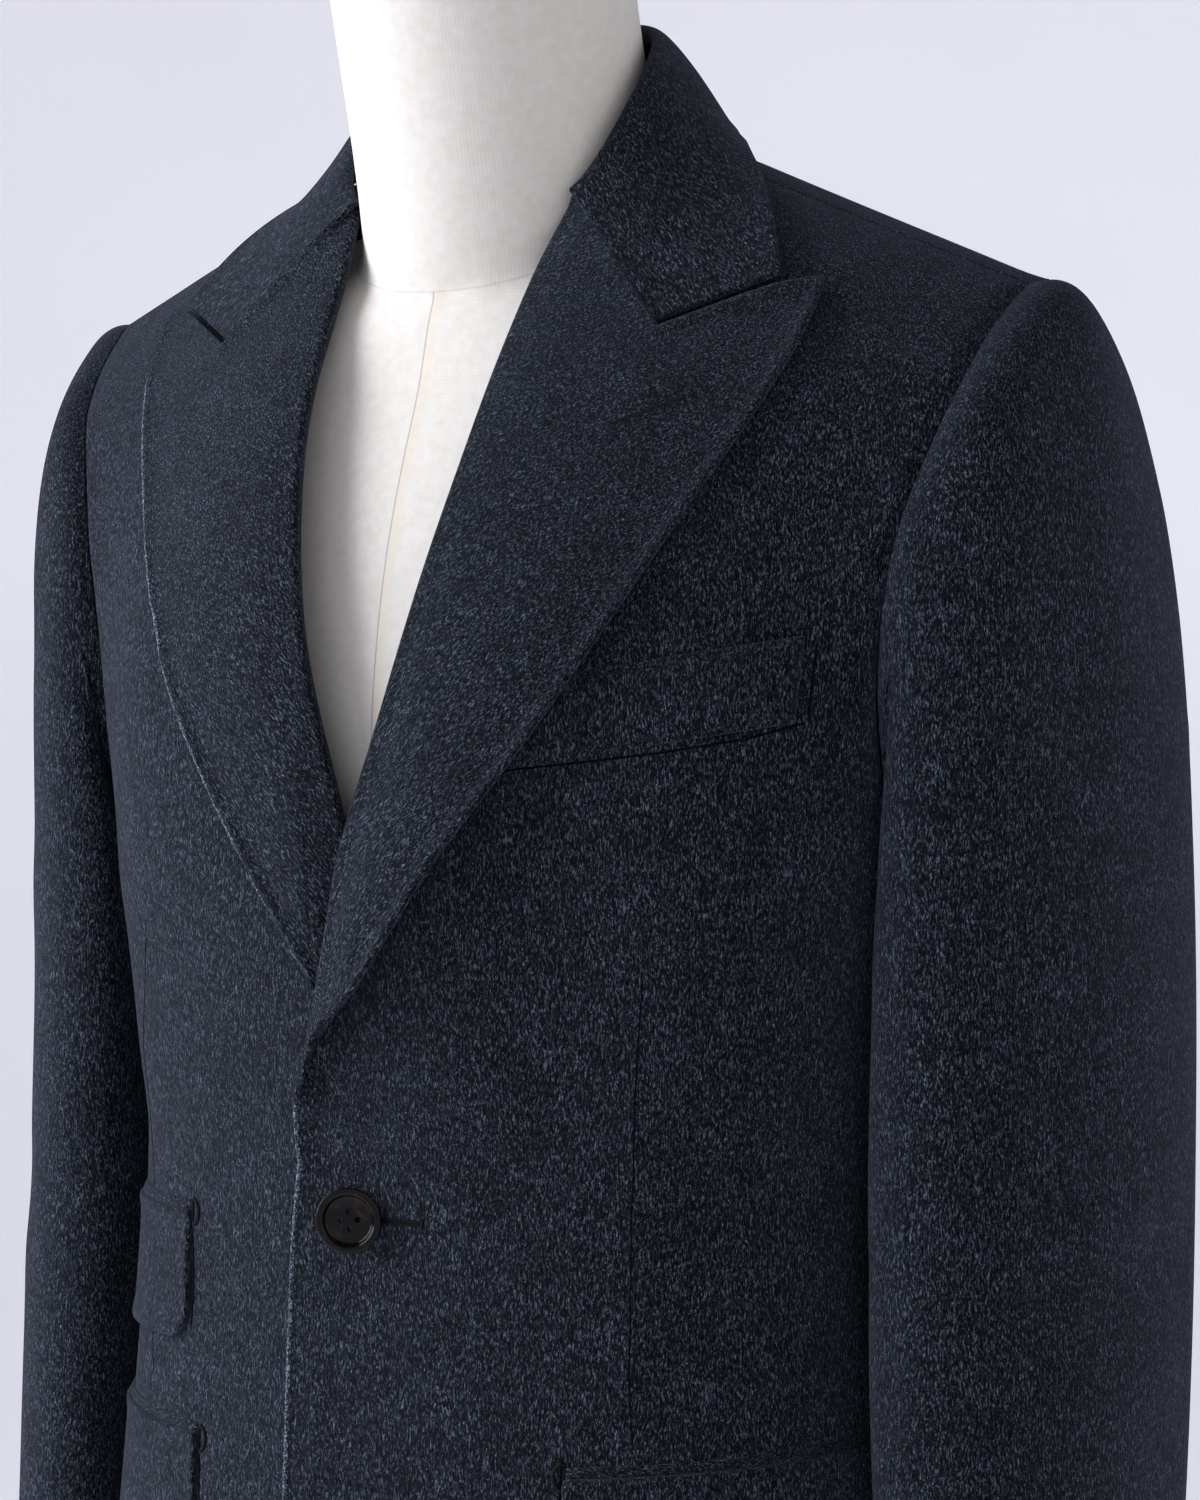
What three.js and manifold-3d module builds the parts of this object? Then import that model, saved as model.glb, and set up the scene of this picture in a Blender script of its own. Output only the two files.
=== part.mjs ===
// Single-breasted overcoat with peak lapels, filled out on a limbless dress form that stands on a round base.
// Millimetres, +Z up, the front faces -Y and the wearer's left is +X.
// The origin is under the middle of the base.
import * as THREE from "three";
import { mergeVertices } from "three/addons/utils/BufferGeometryUtils.js";
import Module from "manifold-3d";

// ---------------------------------------------------------------- driving sizes
const CLOTH = 2; // one thickness of melton
const FACED = 3; // cloth and facing together, as in a lapel or a collar
const SEAM = 0.36; // gap between two pieces that are sewn together
const SHOULDER_TRIM = 0.6; // half of the gap along the curved shoulder seam
const LAID = 0.8; // gap under a piece that lies on another
const HEM_Z = 500;
const UNDERARM_Z = 1190; // lowest point of the armhole
const CHEST_Z = 1330; // above this height the trunk is shaped over the shoulders
const BREAK_Z = 1128; // where the lapel starts to roll
const BUTTON = { diameter: 25, thickness: 4.6, spacing: 130, topZ: 1081, count: 3, stem: 0.4 };
const SHOULDER = { endX: 222, endZ: 1435, slope: 0.405, endY: 0, neckY: 12, neckX: 80, seamOver: -0.1 };
const ROUND = { front: 45, back: 62, share: 0.4, power: 2.2 }; // how the trunk rounds over the shoulder
const GRAPHITE = 0x2b2e35;
const LINEN = 0xe4dfd2;
const HORN = 0x1c1716;
const STEEL = 0x8d9095;

// Horizontal sections of the trunk: half width, depth of the front and the back, and how square each is.
const TRUNK = [
  { z: 500, half: 226, front: 152, frontSquare: 2.1, back: 152, backSquare: 2.1 },
  { z: 650, half: 216, front: 148, frontSquare: 2.15, back: 150, backSquare: 2.1 },
  { z: 800, half: 204, front: 142, frontSquare: 2.2, back: 143, backSquare: 2.2 },
  { z: 900, half: 193, front: 137, frontSquare: 2.3, back: 135, backSquare: 2.25 },
  { z: 985, half: 183, front: 133, frontSquare: 2.35, back: 126, backSquare: 2.3 },
  { z: 1075, half: 175, front: 130, frontSquare: 2.35, back: 117, backSquare: 2.3 },
  { z: 1165, half: 182, front: 131.5, frontSquare: 2.4, back: 119, backSquare: 2.35 },
  { z: 1240, half: 194, front: 134, frontSquare: 2.45, back: 124, backSquare: 2.35 },
  { z: 1300, half: 212, front: 134.5, frontSquare: 2.05, back: 126, backSquare: 2.2 },
  { z: 1357, half: 255, front: 124, frontSquare: 1.55, back: 118, backSquare: 1.9 },
  { z: 1399, half: 278, front: 111, frontSquare: 1.3, back: 106, backSquare: 1.8 },
  { z: 1431, half: 250, front: 92, frontSquare: 1.3, back: 92, backSquare: 1.75 },
  { z: 1465, half: 245, front: 71, frontSquare: 1.35, back: 74, backSquare: 1.75 },
  { z: 1505, half: 240, front: 48, frontSquare: 1.4, back: 49, backSquare: 1.75 },
];

// Front edge of the left front, which is the roll line of the lapel above the break.
const FRONT_EDGE = [
  { z: 500, x: -30 },
  { z: 968, x: -30 },
  { z: 1046, x: -29 },
  { z: 1077, x: -27.5 },
  { z: 1116, x: -21.5 },
  { z: 1155, x: -13.5 },
  { z: 1190, x: -5.3 },
  { z: 1220, x: 0.5 },
  { z: 1258, x: 11.2 },
  { z: 1295, x: 21.9 },
  { z: 1327, x: 29.4 },
  { z: 1360, x: 36.6 },
  { z: 1392, x: 41.5 },
  { z: 1420, x: 43.8 },
  { z: 1445, x: 46 },
  { z: 1469, x: 52 },
];

// Outer edge of the lapel, from the break up to the point of the peak; lift is its height over the front.
const LAPEL_EDGE = [
  { z: 1126, x: -13.6, lift: 3.9 },
  { z: 1137, x: -10.6, lift: 5 },
  { z: 1149, x: -4, lift: 6.5 },
  { z: 1165, x: 9.4, lift: 7.8 },
  { z: 1202, x: 37.8, lift: 8 },
  { z: 1240, x: 64, lift: 8 },
  { z: 1275, x: 88, lift: 7 },
  { z: 1316, x: 111, lift: 5.2 },
  { z: 1357, x: 131, lift: 4.6 },
  { z: 1385, x: 145, lift: 4.2 },
  { z: 1408, x: 153.5, lift: 4.2 },
  { z: 1425, x: 157, lift: 4 },
  { z: 1433.5, x: 156, lift: 4 },
];

// Top of the lapel from the roll, along the gorge seam to its corner, then along the free edge to the peak.
const LAPEL_TOP = [
  { share: 0, x: 52, z: 1468 },
  { share: 0.54, x: 102, z: 1414.5 },
  { share: 0.87, x: 140, z: 1430.5 },
  { share: 1, x: 156, z: 1433.5 },
];

// Left half of the collar from its front end to the centre back: the fold, and the outer edge of the fall.
const COLLAR = [
  { share: 0, foldX: 52.6, foldY: -63.5, foldZ: 1471.6, edgeX: 141, edgeY: -53, edgeZ: 1433.5 },
  { share: 0.08, foldX: 59.5, foldY: -59.5, foldZ: 1483, edgeX: 131.5, edgeY: -43, edgeZ: 1451 },
  { share: 0.18, foldX: 64.8, foldY: -51.5, foldZ: 1499, edgeX: 120.5, edgeY: -29.5, edgeZ: 1467 },
  { share: 0.3, foldX: 66.4, foldY: -38, foldZ: 1517, edgeX: 104, edgeY: -13.5, edgeZ: 1480 },
  { share: 0.44, foldX: 60.8, foldY: -20, foldZ: 1532, edgeX: 93, edgeY: -1, edgeZ: 1488.5 },
  { share: 0.6, foldX: 47, foldY: 0, foldZ: 1541, edgeX: 79, edgeY: 19, edgeZ: 1493 },
  { share: 0.78, foldX: 28, foldY: 13.5, foldZ: 1546, edgeX: 52, edgeY: 44, edgeZ: 1496 },
  { share: 1, foldX: 0, foldY: 21, foldZ: 1547, edgeX: 0, edgeY: 59, edgeZ: 1497 },
];

// Level sections of the sleeve below the armhole: middle, half length and half width of the oval.
const SLEEVE = [
  { z: 1165, x: 214.5, y: 4, long: 76, short: 48.5 },
  { z: 1125, x: 215.5, y: 2.5, long: 76, short: 48 },
  { z: 1060, x: 217, y: 0.5, long: 75, short: 48 },
  { z: 995, x: 218.5, y: -3.5, long: 73, short: 47.5 },
  { z: 930, x: 220, y: -8, long: 70, short: 46 },
  { z: 865, x: 221.5, y: -13.5, long: 66, short: 44 },
  { z: 800, x: 223, y: -20, long: 62, short: 42 },
];
const SLEEVE_TURN = THREE.MathUtils.degToRad(20); // the front of the oval turns in towards the body
const SLEEVE_CLEAR = 5; // nearest that the sleeve comes to the trunk

// Sections of the dress form: each passes through its front and back point on the centre line.
const FORM = [
  { frontY: -108, frontZ: 880, backY: 98, backZ: 880, half: 146, lift: 0 },
  { frontY: -118, frontZ: 960, backY: 108, backZ: 960, half: 158, lift: 0 },
  { frontY: -116, frontZ: 1060, backY: 96, backZ: 1060, half: 148, lift: 0 },
  { frontY: -119, frontZ: 1160, backY: 98, backZ: 1160, half: 152, lift: 0 },
  { frontY: -125, frontZ: 1243, backY: 108, backZ: 1250, half: 164, lift: 0 },
  { frontY: -121, frontZ: 1293, backY: 114, backZ: 1306, half: 173, lift: 0 },
  { frontY: -113, frontZ: 1335, backY: 109, backZ: 1355, half: 180, lift: 4 },
  { frontY: -101, frontZ: 1371, backY: 98, backZ: 1395, half: 184, lift: 10 },
  { frontY: -93, frontZ: 1391, backY: 80, backZ: 1422, half: 180, lift: 14 },
  { frontY: -90, frontZ: 1401, backY: 67, backZ: 1444, half: 166, lift: 16 },
  { frontY: -88, frontZ: 1409, backY: 51, backZ: 1461, half: 134, lift: 14 },
  { frontY: -86, frontZ: 1419, backY: 42, backZ: 1480, half: 94, lift: 8 },
  { frontY: -82, frontZ: 1433, backY: 35, backZ: 1498, half: 64, lift: 0 },
];
const NECK = [
  { frontY: -82, frontZ: 1433.4, backY: 35, backZ: 1498.4, half: 64, lift: 0 },
  { frontY: -87, frontZ: 1453, backY: 28, backZ: 1510, half: 61, lift: 0 },
  { frontY: -92, frontZ: 1480, backY: 22, backZ: 1524, half: 60.5, lift: 0 },
  { frontY: -101, frontZ: 1520, backY: 14, backZ: 1548, half: 61, lift: 0 },
  { frontY: -111, frontZ: 1560, backY: 8, backZ: 1574, half: 61, lift: 0 },
  { frontY: -118.5, frontZ: 1588, backY: 2, backZ: 1595, half: 60, lift: 0 },
  { frontY: -116, frontZ: 1598, backY: -1, backZ: 1602, half: 57, lift: 0 },
];
const FORM_SQUARE = { torso: 2.15, neck: 2 };
const STAND = {
  poleRadius: 16,
  baseRadius: 190,
  baseHeight: 14,
  baseRim: 5,
  collarRadius: 34,
  collarHeight: 26,
};

// ---------------------------------------------------------------- small helpers
const { lerp, smoothstep, degToRad } = THREE.MathUtils;
const point = (x, y, z) => new THREE.Vector3(x, y, z);
const steps = (count, from = 0, to = 1) =>
  Array.from({ length: count + 1 }, (_, i) => lerp(from, to, i / count));

// The value of one column at a place along a table, on a smooth curve through the rows.
function at(table, key, place, column) {
  const rows = table[0][key] < table[table.length - 1][key] ? table : [...table].reverse();
  const last = rows.length - 2;
  let i = rows.findIndex((row) => row[key] > place) - 1;
  if (i < 0) i = place < rows[0][key] ? 0 : last;
  const slope = (j) => {
    const a = rows[Math.max(j - 1, 0)];
    const b = rows[Math.min(j + 1, rows.length - 1)];
    return (b[column] - a[column]) / (b[key] - a[key]);
  };
  const [a, b] = [rows[i], rows[i + 1]];
  const span = b[key] - a[key];
  const u = THREE.MathUtils.clamp((place - a[key]) / span, 0, 1);
  const [uu, uuu] = [u * u, u * u * u];
  const start = a[column] * (2 * uuu - 3 * uu + 1) + b[column] * (3 * uu - 2 * uuu);
  return start + span * (slope(i) * (uuu - 2 * uu + u) + slope(i + 1) * (uuu - uu));
}

// The same on straight lines between the rows, for an outline with corners.
function straightAt(table, key, place, column) {
  const i = Math.max(0, Math.min(table.length - 2, table.findIndex((row) => row[key] >= place) - 1));
  const [a, b] = [table[i], table[i + 1]];
  return lerp(a[column], b[column], (place - a[key]) / (b[key] - a[key]));
}

// Outward normals of a skin, from its neighbours across and along the grid.
function skinNormals(rows, ring) {
  return rows.map((row, j) =>
    row.map((_, i) => {
      const n = row.length;
      const before = ring ? (i + n - 1) % n : Math.max(i - 1, 0);
      const after = ring ? (i + 1) % n : Math.min(i + 1, n - 1);
      const across = row[after].clone().sub(row[before]);
      const up = rows[Math.min(j + 1, rows.length - 1)][i].clone().sub(rows[Math.max(j - 1, 0)][i]);
      return across.cross(up).normalize();
    }),
  );
}

// A closed solid from an outer and an inner skin of the same grid, joined at the edges.
function solidBetween(outer, inner) {
  const [rows, columns] = [outer.length, outer[0].length];
  const positions = [...outer.flat(), ...inner.flat()].flatMap((p) => p.toArray());
  const index = [];
  const out = (j, i) => j * columns + i;
  const inn = (j, i) => rows * columns + out(j, i);
  const quad = (a, b, c, d) => index.push(a, b, c, a, c, d);
  for (let j = 0; j < rows - 1; j++)
    for (let i = 0; i < columns - 1; i++) {
      quad(out(j, i), out(j, i + 1), out(j + 1, i + 1), out(j + 1, i));
      quad(inn(j, i), inn(j + 1, i), inn(j + 1, i + 1), inn(j, i + 1));
    }
  for (let i = 0; i < columns - 1; i++) {
    quad(out(0, i), inn(0, i), inn(0, i + 1), out(0, i + 1));
    quad(out(rows - 1, i), out(rows - 1, i + 1), inn(rows - 1, i + 1), inn(rows - 1, i));
  }
  for (let j = 0; j < rows - 1; j++) {
    quad(out(j, 0), out(j + 1, 0), inn(j + 1, 0), inn(j, 0));
    quad(out(j, columns - 1), inn(j, columns - 1), inn(j + 1, columns - 1), out(j + 1, columns - 1));
  }
  const geometry = new THREE.BufferGeometry();
  geometry.setAttribute("position", new THREE.Float32BufferAttribute(positions, 3));
  geometry.setIndex(index);
  return geometry;
}

// The skin behind (or, with a minus, in front of) another.
function skinBehind(outer, thickness, ring = false) {
  const normals = skinNormals(outer, ring);
  return outer.map((row, j) => row.map((p, i) => p.clone().addScaledVector(normals[j][i], -thickness)));
}

// A wall of cloth behind an outer skin.
const wall = (outer, thickness) => solidBetween(outer, skinBehind(outer, thickness));

// A piece laid on another: from low to high above the skin that carries it.
const laidOn = (skin, low, high) => solidBetween(skinBehind(skin, -high), skinBehind(skin, -low));

// The mirror image for the wearer's right side.
function mirrored(geometry) {
  const copy = geometry.clone().scale(-1, 1, 1);
  const index = copy.getIndex();
  for (let i = 0; i < index.count; i += 3) {
    const a = index.getX(i);
    index.setX(i, index.getX(i + 1));
    index.setX(i + 1, a);
  }
  return copy;
}

// ---------------------------------------------------------------- the trunk
const trunk = (z, column) => at(TRUNK, "z", z, column);

// A point of a level section, turned from the centre front (0) past the side (90 degrees) to the centre back.
function trunkPoint(turn, z) {
  const back = turn > Math.PI / 2;
  const square = 2 / trunk(z, back ? "backSquare" : "frontSquare");
  const depth = back ? trunk(z, "back") : -trunk(z, "front");
  const x = Math.sign(Math.sin(turn)) * Math.abs(Math.sin(turn)) ** square * trunk(z, "half");
  return point(x, Math.abs(Math.cos(turn)) ** square * depth, z);
}

// Depth of the front or back at a distance from the centre.
function trunkDepth(x, z, back) {
  const square = trunk(z, back ? "backSquare" : "frontSquare");
  const share = Math.max(0, 1 - (Math.abs(x) / trunk(z, "half")) ** square);
  return share ** (1 / square) * (back ? trunk(z, "back") : -trunk(z, "front"));
}

const turnOf = (x, z) => {
  const square = trunk(z, "frontSquare") / 2;
  return Math.sign(x) * Math.asin(Math.min(1, Math.abs(x) / trunk(z, "half")) ** square);
};
const ridgeZ = (x) => SHOULDER.endZ + (SHOULDER.endX - Math.abs(x)) * SHOULDER.slope;
const ridgeY = (x) =>
  lerp(SHOULDER.endY, SHOULDER.neckY, (SHOULDER.endX - Math.abs(x)) / (SHOULDER.endX - SHOULDER.neckX));

// A point above the chest: over runs from -1 at the front through 0 on the shoulder ridge to 1 at the back.
function overShoulder(x, over) {
  const back = over > 0;
  const round = back ? ROUND.back : ROUND.front;
  const bend = (Math.min(1, Math.abs(over) / ROUND.share) * Math.PI) / 2;
  const fall = Math.max(0, (Math.abs(over) - ROUND.share) / (1 - ROUND.share));
  const top = ridgeZ(x) - round * (1 - Math.cos(bend) ** (2 / ROUND.power));
  const z = lerp(top, CHEST_Z, fall);
  const y = lerp(ridgeY(x), trunkDepth(x, z, back), Math.sin(bend) ** (2 / ROUND.power));
  return point(x, y, z);
}

// The front skin at any distance from the centre and any height.
function frontSkin(x, z) {
  const under = THREE.MathUtils.clamp((ridgeZ(x) - z) / ROUND.front, 0, 1);
  const reach = (1 - (1 - under) ** ROUND.power) ** (1 / ROUND.power);
  return point(x, lerp(ridgeY(x), trunkDepth(x, z, false), reach), z);
}

// The left front lies over the right one, and below the roll over the foot of the right lapel too.
const LAP = { cloth: CLOTH + LAID + 0.3, lapel: FACED + LAID + 4.4 };
// How far the left front stands out where it laps over the right one and over the right lapel.
function lap(side, x, z) {
  if (side < 0) return 0;
  const near = 1 - smoothstep(x, 34, 92);
  const overLapel = smoothstep(z, 1098, 1130) * (1 - smoothstep(z, 1215, 1262));
  const below = 1 - smoothstep(z, 1240, CHEST_Z);
  return near * below * (LAP.cloth + overLapel * LAP.lapel);
}

const laidFront = (side, x, z) => {
  const p = frontSkin(x, z);
  p.y -= lap(side, x, z);
  return p;
};

// A point a set height above the front, straight ahead of a place on it.
function aboveFront(side, x, z, height) {
  const [p, q, r] = [laidFront(side, x, z), laidFront(side, x + 1, z), laidFront(side, x, z + 1)];
  const normal = q.sub(p).cross(r.sub(p)).normalize();
  p.y -= height / Math.max(0.35, Math.abs(normal.y));
  return p;
}

// Moves a point out until it is a set height clear of the shoulder at its distance from the centre.
function clearOfShoulder(p, height) {
  const places = steps(160, -1, 1).map((over) => overShoulder(p.x, over));
  let nearest = 1;
  places.forEach((q, i) => {
    if (i > 0 && i < 160 && q.distanceTo(p) < places[nearest].distanceTo(p)) nearest = i;
  });
  const along = places[nearest + 1].clone().sub(places[nearest - 1]);
  const normal = point(0, -along.z, along.y).normalize();
  const above = p.clone().sub(places[nearest]).dot(normal);
  return above < height ? p.clone().addScaledVector(normal, height - above) : p;
}

// ---------------------------------------------------------------- armhole
// Half depth of the armhole at a height below the chest line, round its bottom.
const ARMHOLE = { front: -66, back: 67, middleZ: 1318 };
function armholeY(z, back) {
  const drop = THREE.MathUtils.clamp((ARMHOLE.middleZ - z) / (ARMHOLE.middleZ - UNDERARM_Z), 0, 1);
  return (back ? ARMHOLE.back : ARMHOLE.front) * Math.sqrt(1 - drop ** 2.3);
}
// The turn at which a level section reaches a given depth.
function turnAtDepth(y, z, back) {
  const square = trunk(z, back ? "backSquare" : "frontSquare") / 2;
  const depth = trunk(z, back ? "back" : "front");
  const turn = Math.acos(Math.min(1, Math.abs(y) / depth) ** square);
  return back ? Math.PI - turn : turn;
}
// Distance of the armhole from the centre above the chest line.
function armholeX(over) {
  const back = over > 0;
  const chest = trunkPoint(turnAtDepth(armholeY(CHEST_Z, back), CHEST_Z, back), CHEST_Z).x;
  return lerp(chest, SHOULDER.endX, (1 - Math.abs(over) ** 1.2) ** 1.15);
}

// ---------------------------------------------------------------- fronts
const ROWS_BELOW = [HEM_Z, 610, 720, 820, 900, 955, 1000, 1035, 1070, 1105, 1135, 1162, UNDERARM_Z];
const ROWS_ARMHOLE = [1194, 1204, 1222, 1250, 1290];
const FRONT_OVERS = [-1, -0.82, -0.66, -0.52, -0.41, -0.3, -0.19, SHOULDER.seamOver];
const BACK_OVERS = [SHOULDER.seamOver, 0.02, 0.14, 0.27, 0.41, 0.57, 0.76, 1];
const FRONT_COLUMNS = 14;
const BACK_COLUMNS = 12;
const ROLL_RADIUS = FACED + 0.4;

const frontEdge = (z) => at(FRONT_EDGE, "z", z, "x");
const EDGE_BACK = (ROLL_RADIUS + SEAM) * 1.08 + 1.6; // the front stops this far behind the roll of its lapel
const pulledBack = (z) => EDGE_BACK * smoothstep(z, BREAK_Z - 26, BREAK_Z - 6);

// Where the front ends beside the roll of the lapel, and above it along the neckline.
function frontInner(over) {
  const roll = (o) => {
    let x = FRONT_EDGE[FRONT_EDGE.length - 2].x;
    for (let i = 0; i < 6; i++) x = frontEdge(overShoulder(x, o).z) + EDGE_BACK; // settles in a few turns
    return x;
  };
  const rounding = -0.5; // from here up the edge leaves the roll for the neckline
  if (over <= rounding) return roll(over);
  const share = (over - rounding) / (SHOULDER.seamOver - rounding);
  return lerp(roll(rounding), SHOULDER.neckX, share ** 0.8);
}

function frontSkinRows(side) {
  const rows = [];
  const across = (place) => place ** 0.92; // closer together at the edge
  const level = (z, lastTurn) => {
    const first = turnOf(frontEdge(z) + pulledBack(z), z);
    return steps(FRONT_COLUMNS).map((s) => {
      const p = trunkPoint(lerp(first, lastTurn, across(s)), z);
      p.y -= lap(side, p.x, z);
      return p;
    });
  };
  for (const z of ROWS_BELOW) rows.push(level(z, Math.PI / 2));
  for (const z of ROWS_ARMHOLE) rows.push(level(z, turnAtDepth(armholeY(z, false), z, false)));
  for (const over of FRONT_OVERS)
    rows.push(
      steps(FRONT_COLUMNS).map((s) => overShoulder(lerp(frontInner(over), armholeX(over), across(s)), over)),
    );
  return rows;
}

// The back hangs from the neckline and the shoulder seam; its first columns follow the neckline.
const NECK_COLUMNS = 4;
const BACK_NECK = [
  { share: 0, x: 0, y: 49, z: 1500 },
  { share: 0.35, x: 33, y: 43, z: 1500 },
  { share: 0.7, x: 63, y: 24, z: 1497.5 },
  { share: 1, x: 79, y: 3, z: 1494 },
];

function backSkinRows() {
  const rows = [];
  const columns = steps(BACK_COLUMNS);
  const level = (z, firstTurn) => columns.map((s) => trunkPoint(lerp(Math.PI, firstTurn, s), z));
  for (const z of ROWS_BELOW) rows.push(level(z, Math.PI / 2 + 1e-6));
  for (const z of ROWS_ARMHOLE) rows.push(level(z, turnAtDepth(armholeY(z, true), z, true)));
  const neckShare = NECK_COLUMNS / BACK_COLUMNS;
  for (const over of [...BACK_OVERS].reverse()) {
    // Near the neck the rows stop at the neckline, so there over runs to its depth instead of to the seam.
    const rise = 1 - (over - SHOULDER.seamOver) / (1 - SHOULDER.seamOver);
    rows.push(
      columns.map((s) => {
        const far = armholeX(over);
        const even = lerp(0, far, s);
        const neckX = s < neckShare ? at(BACK_NECK, "share", s / neckShare, "x") : 0;
        const outer = lerp(SHOULDER.neckX, far, (s - neckShare) / (1 - neckShare));
        const settled = smoothstep(rise, 0, 1);
        if (s >= neckShare) return overShoulder(lerp(even, outer, settled), over);
        const neck = (column) => at(BACK_NECK, "share", s / neckShare, column);
        const top = point(neckX, neck("y"), neck("z"));
        const x = lerp(even, neckX, settled);
        const z = lerp(CHEST_Z, top.z, rise ** 0.8);
        const y = trunkDepth(x, z, true);
        return point(x, lerp(y, top.y, rise ** 3), z);
      }),
    );
  }
  return rows;
}

// Draws a skin's edge back by half a seam, along the skin.
function trimmed(rows, { left = 0, right = 0, top = 0 }) {
  const toward = (p, q, distance) => p.clone().addScaledVector(q.clone().sub(p).normalize(), distance);
  const n = rows[0].length - 1;
  const cut = rows.map((row) => row.map((p) => p.clone()));
  rows.forEach((row, j) => {
    if (left) cut[j][0] = toward(row[0], row[1], left);
    if (right) cut[j][n] = toward(row[n], row[n - 1], right);
  });
  if (top) cut[rows.length - 1] = cut[rows.length - 1].map((p, i) => toward(p, cut[rows.length - 2][i], top));
  return cut;
}

// ---------------------------------------------------------------- lapels
const LAPEL_ROWS = 15;
const LAPEL_SHARES = [0, 0.1, 0.21, 0.32, 0.43, 0.54, 0.65, 0.76, 0.87, 0.94, 1];
const ROLL_STEPS = 4;
const LAPEL_BELLY = 0.035; // how much it arches, as a share of its width
const CORNER_FROM = 0.66; // above this share of its length the rows bend towards the gorge

// The section of a soft roll: from the layer below, round the crest, to the layer on top.
function roll(crest, crestWay, upWay, radius, bendSteps) {
  const middle = crest.clone().addScaledVector(crestWay, -radius);
  return steps(bendSteps, -Math.PI / 2, Math.PI / 2).map((angle) =>
    middle
      .clone()
      .addScaledVector(crestWay, radius * Math.cos(angle))
      .addScaledVector(upWay, radius * Math.sin(angle)),
  );
}

function lapelSkinRows(side) {
  const topZ = LAPEL_TOP[0].z;
  const edgeTopZ = LAPEL_TOP[LAPEL_TOP.length - 1].z;
  const rollAt = (share) => {
    const z = lerp(BREAK_Z + 1, topZ, share);
    const x = frontEdge(z);
    const p = laidFront(side, x + ROLL_RADIUS, z);
    return point(x, p.y - 0.6, z);
  };
  const edgeAt = (share) => {
    const z = lerp(LAPEL_EDGE[0].z, edgeTopZ, share ** 0.94);
    return { x: at(LAPEL_EDGE, "z", z, "x"), z, lift: at(LAPEL_EDGE, "z", z, "lift") };
  };
  return steps(LAPEL_ROWS).map((share) => {
    const from = rollAt(share);
    const to = edgeAt(share);
    const step = 0.01;
    const along = rollAt(Math.min(1, share + step)).sub(rollAt(Math.max(0, share - step))).normalize();
    const toSkin = laidFront(side, to.x, to.z);
    const reach = toSkin.clone().sub(from);
    const crestWay = reach.addScaledVector(along, -reach.dot(along)).normalize().negate();
    const upWay = along.clone().cross(crestWay).normalize();
    const bend = smoothstep(share, CORNER_FROM, 1) ** 1.4;
    const rolled = roll(from, crestWay, upWay, ROLL_RADIUS, ROLL_STEPS);
    const start = rolled[rolled.length - 1];
    const width = Math.hypot(to.x - from.x, to.z - from.z);
    const rest = LAPEL_SHARES.slice(1).map((s) => {
      const corner = (column) =>
        straightAt(LAPEL_TOP, "share", s, column) - lerp(LAPEL_TOP[0][column], LAPEL_TOP[3][column], s);
      const x = lerp(start.x, to.x, s) + bend * corner("x");
      const z = lerp(start.z, to.z, s) + bend * corner("z");
      const belly = LAPEL_BELLY * width * Math.sin(Math.PI * Math.min(1, s * 1.15)) * (1 - 0.6 * share);
      const startLift = laidFront(side, start.x, start.z).y - start.y;
      return aboveFront(side, x, z, lerp(startLift, to.lift, s) + belly);
    });
    return [...rolled, ...rest];
  });
}

// ---------------------------------------------------------------- collar
const COLLAR_ROWS = 15; // on each side of the centre back
const COLLAR_RADIUS = FACED + 1.2;
const COLLAR_BULGE = 2.2; // how far the fall arches
const COLLAR_DROP = 11; // the coat sits a little askew: its collar is lower on the wearer's right
const COLLAR_STAND = { front: 7, back: 44, footZ: 1461 }; // its depth inside the neckline
const COLLAR_FALL = [0.12, 0.28, 0.45, 0.62, 0.8, 1];
// Where its front end turns, on the gorge.
const COLLAR_CORNER = { x: 102.6, y: -75.5, z: 1416.4, share: 0.62 };
const collarAt = (share, name) =>
  point(...["X", "Y", "Z"].map((axis) => at(COLLAR, "share", share, name + axis)));

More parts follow.
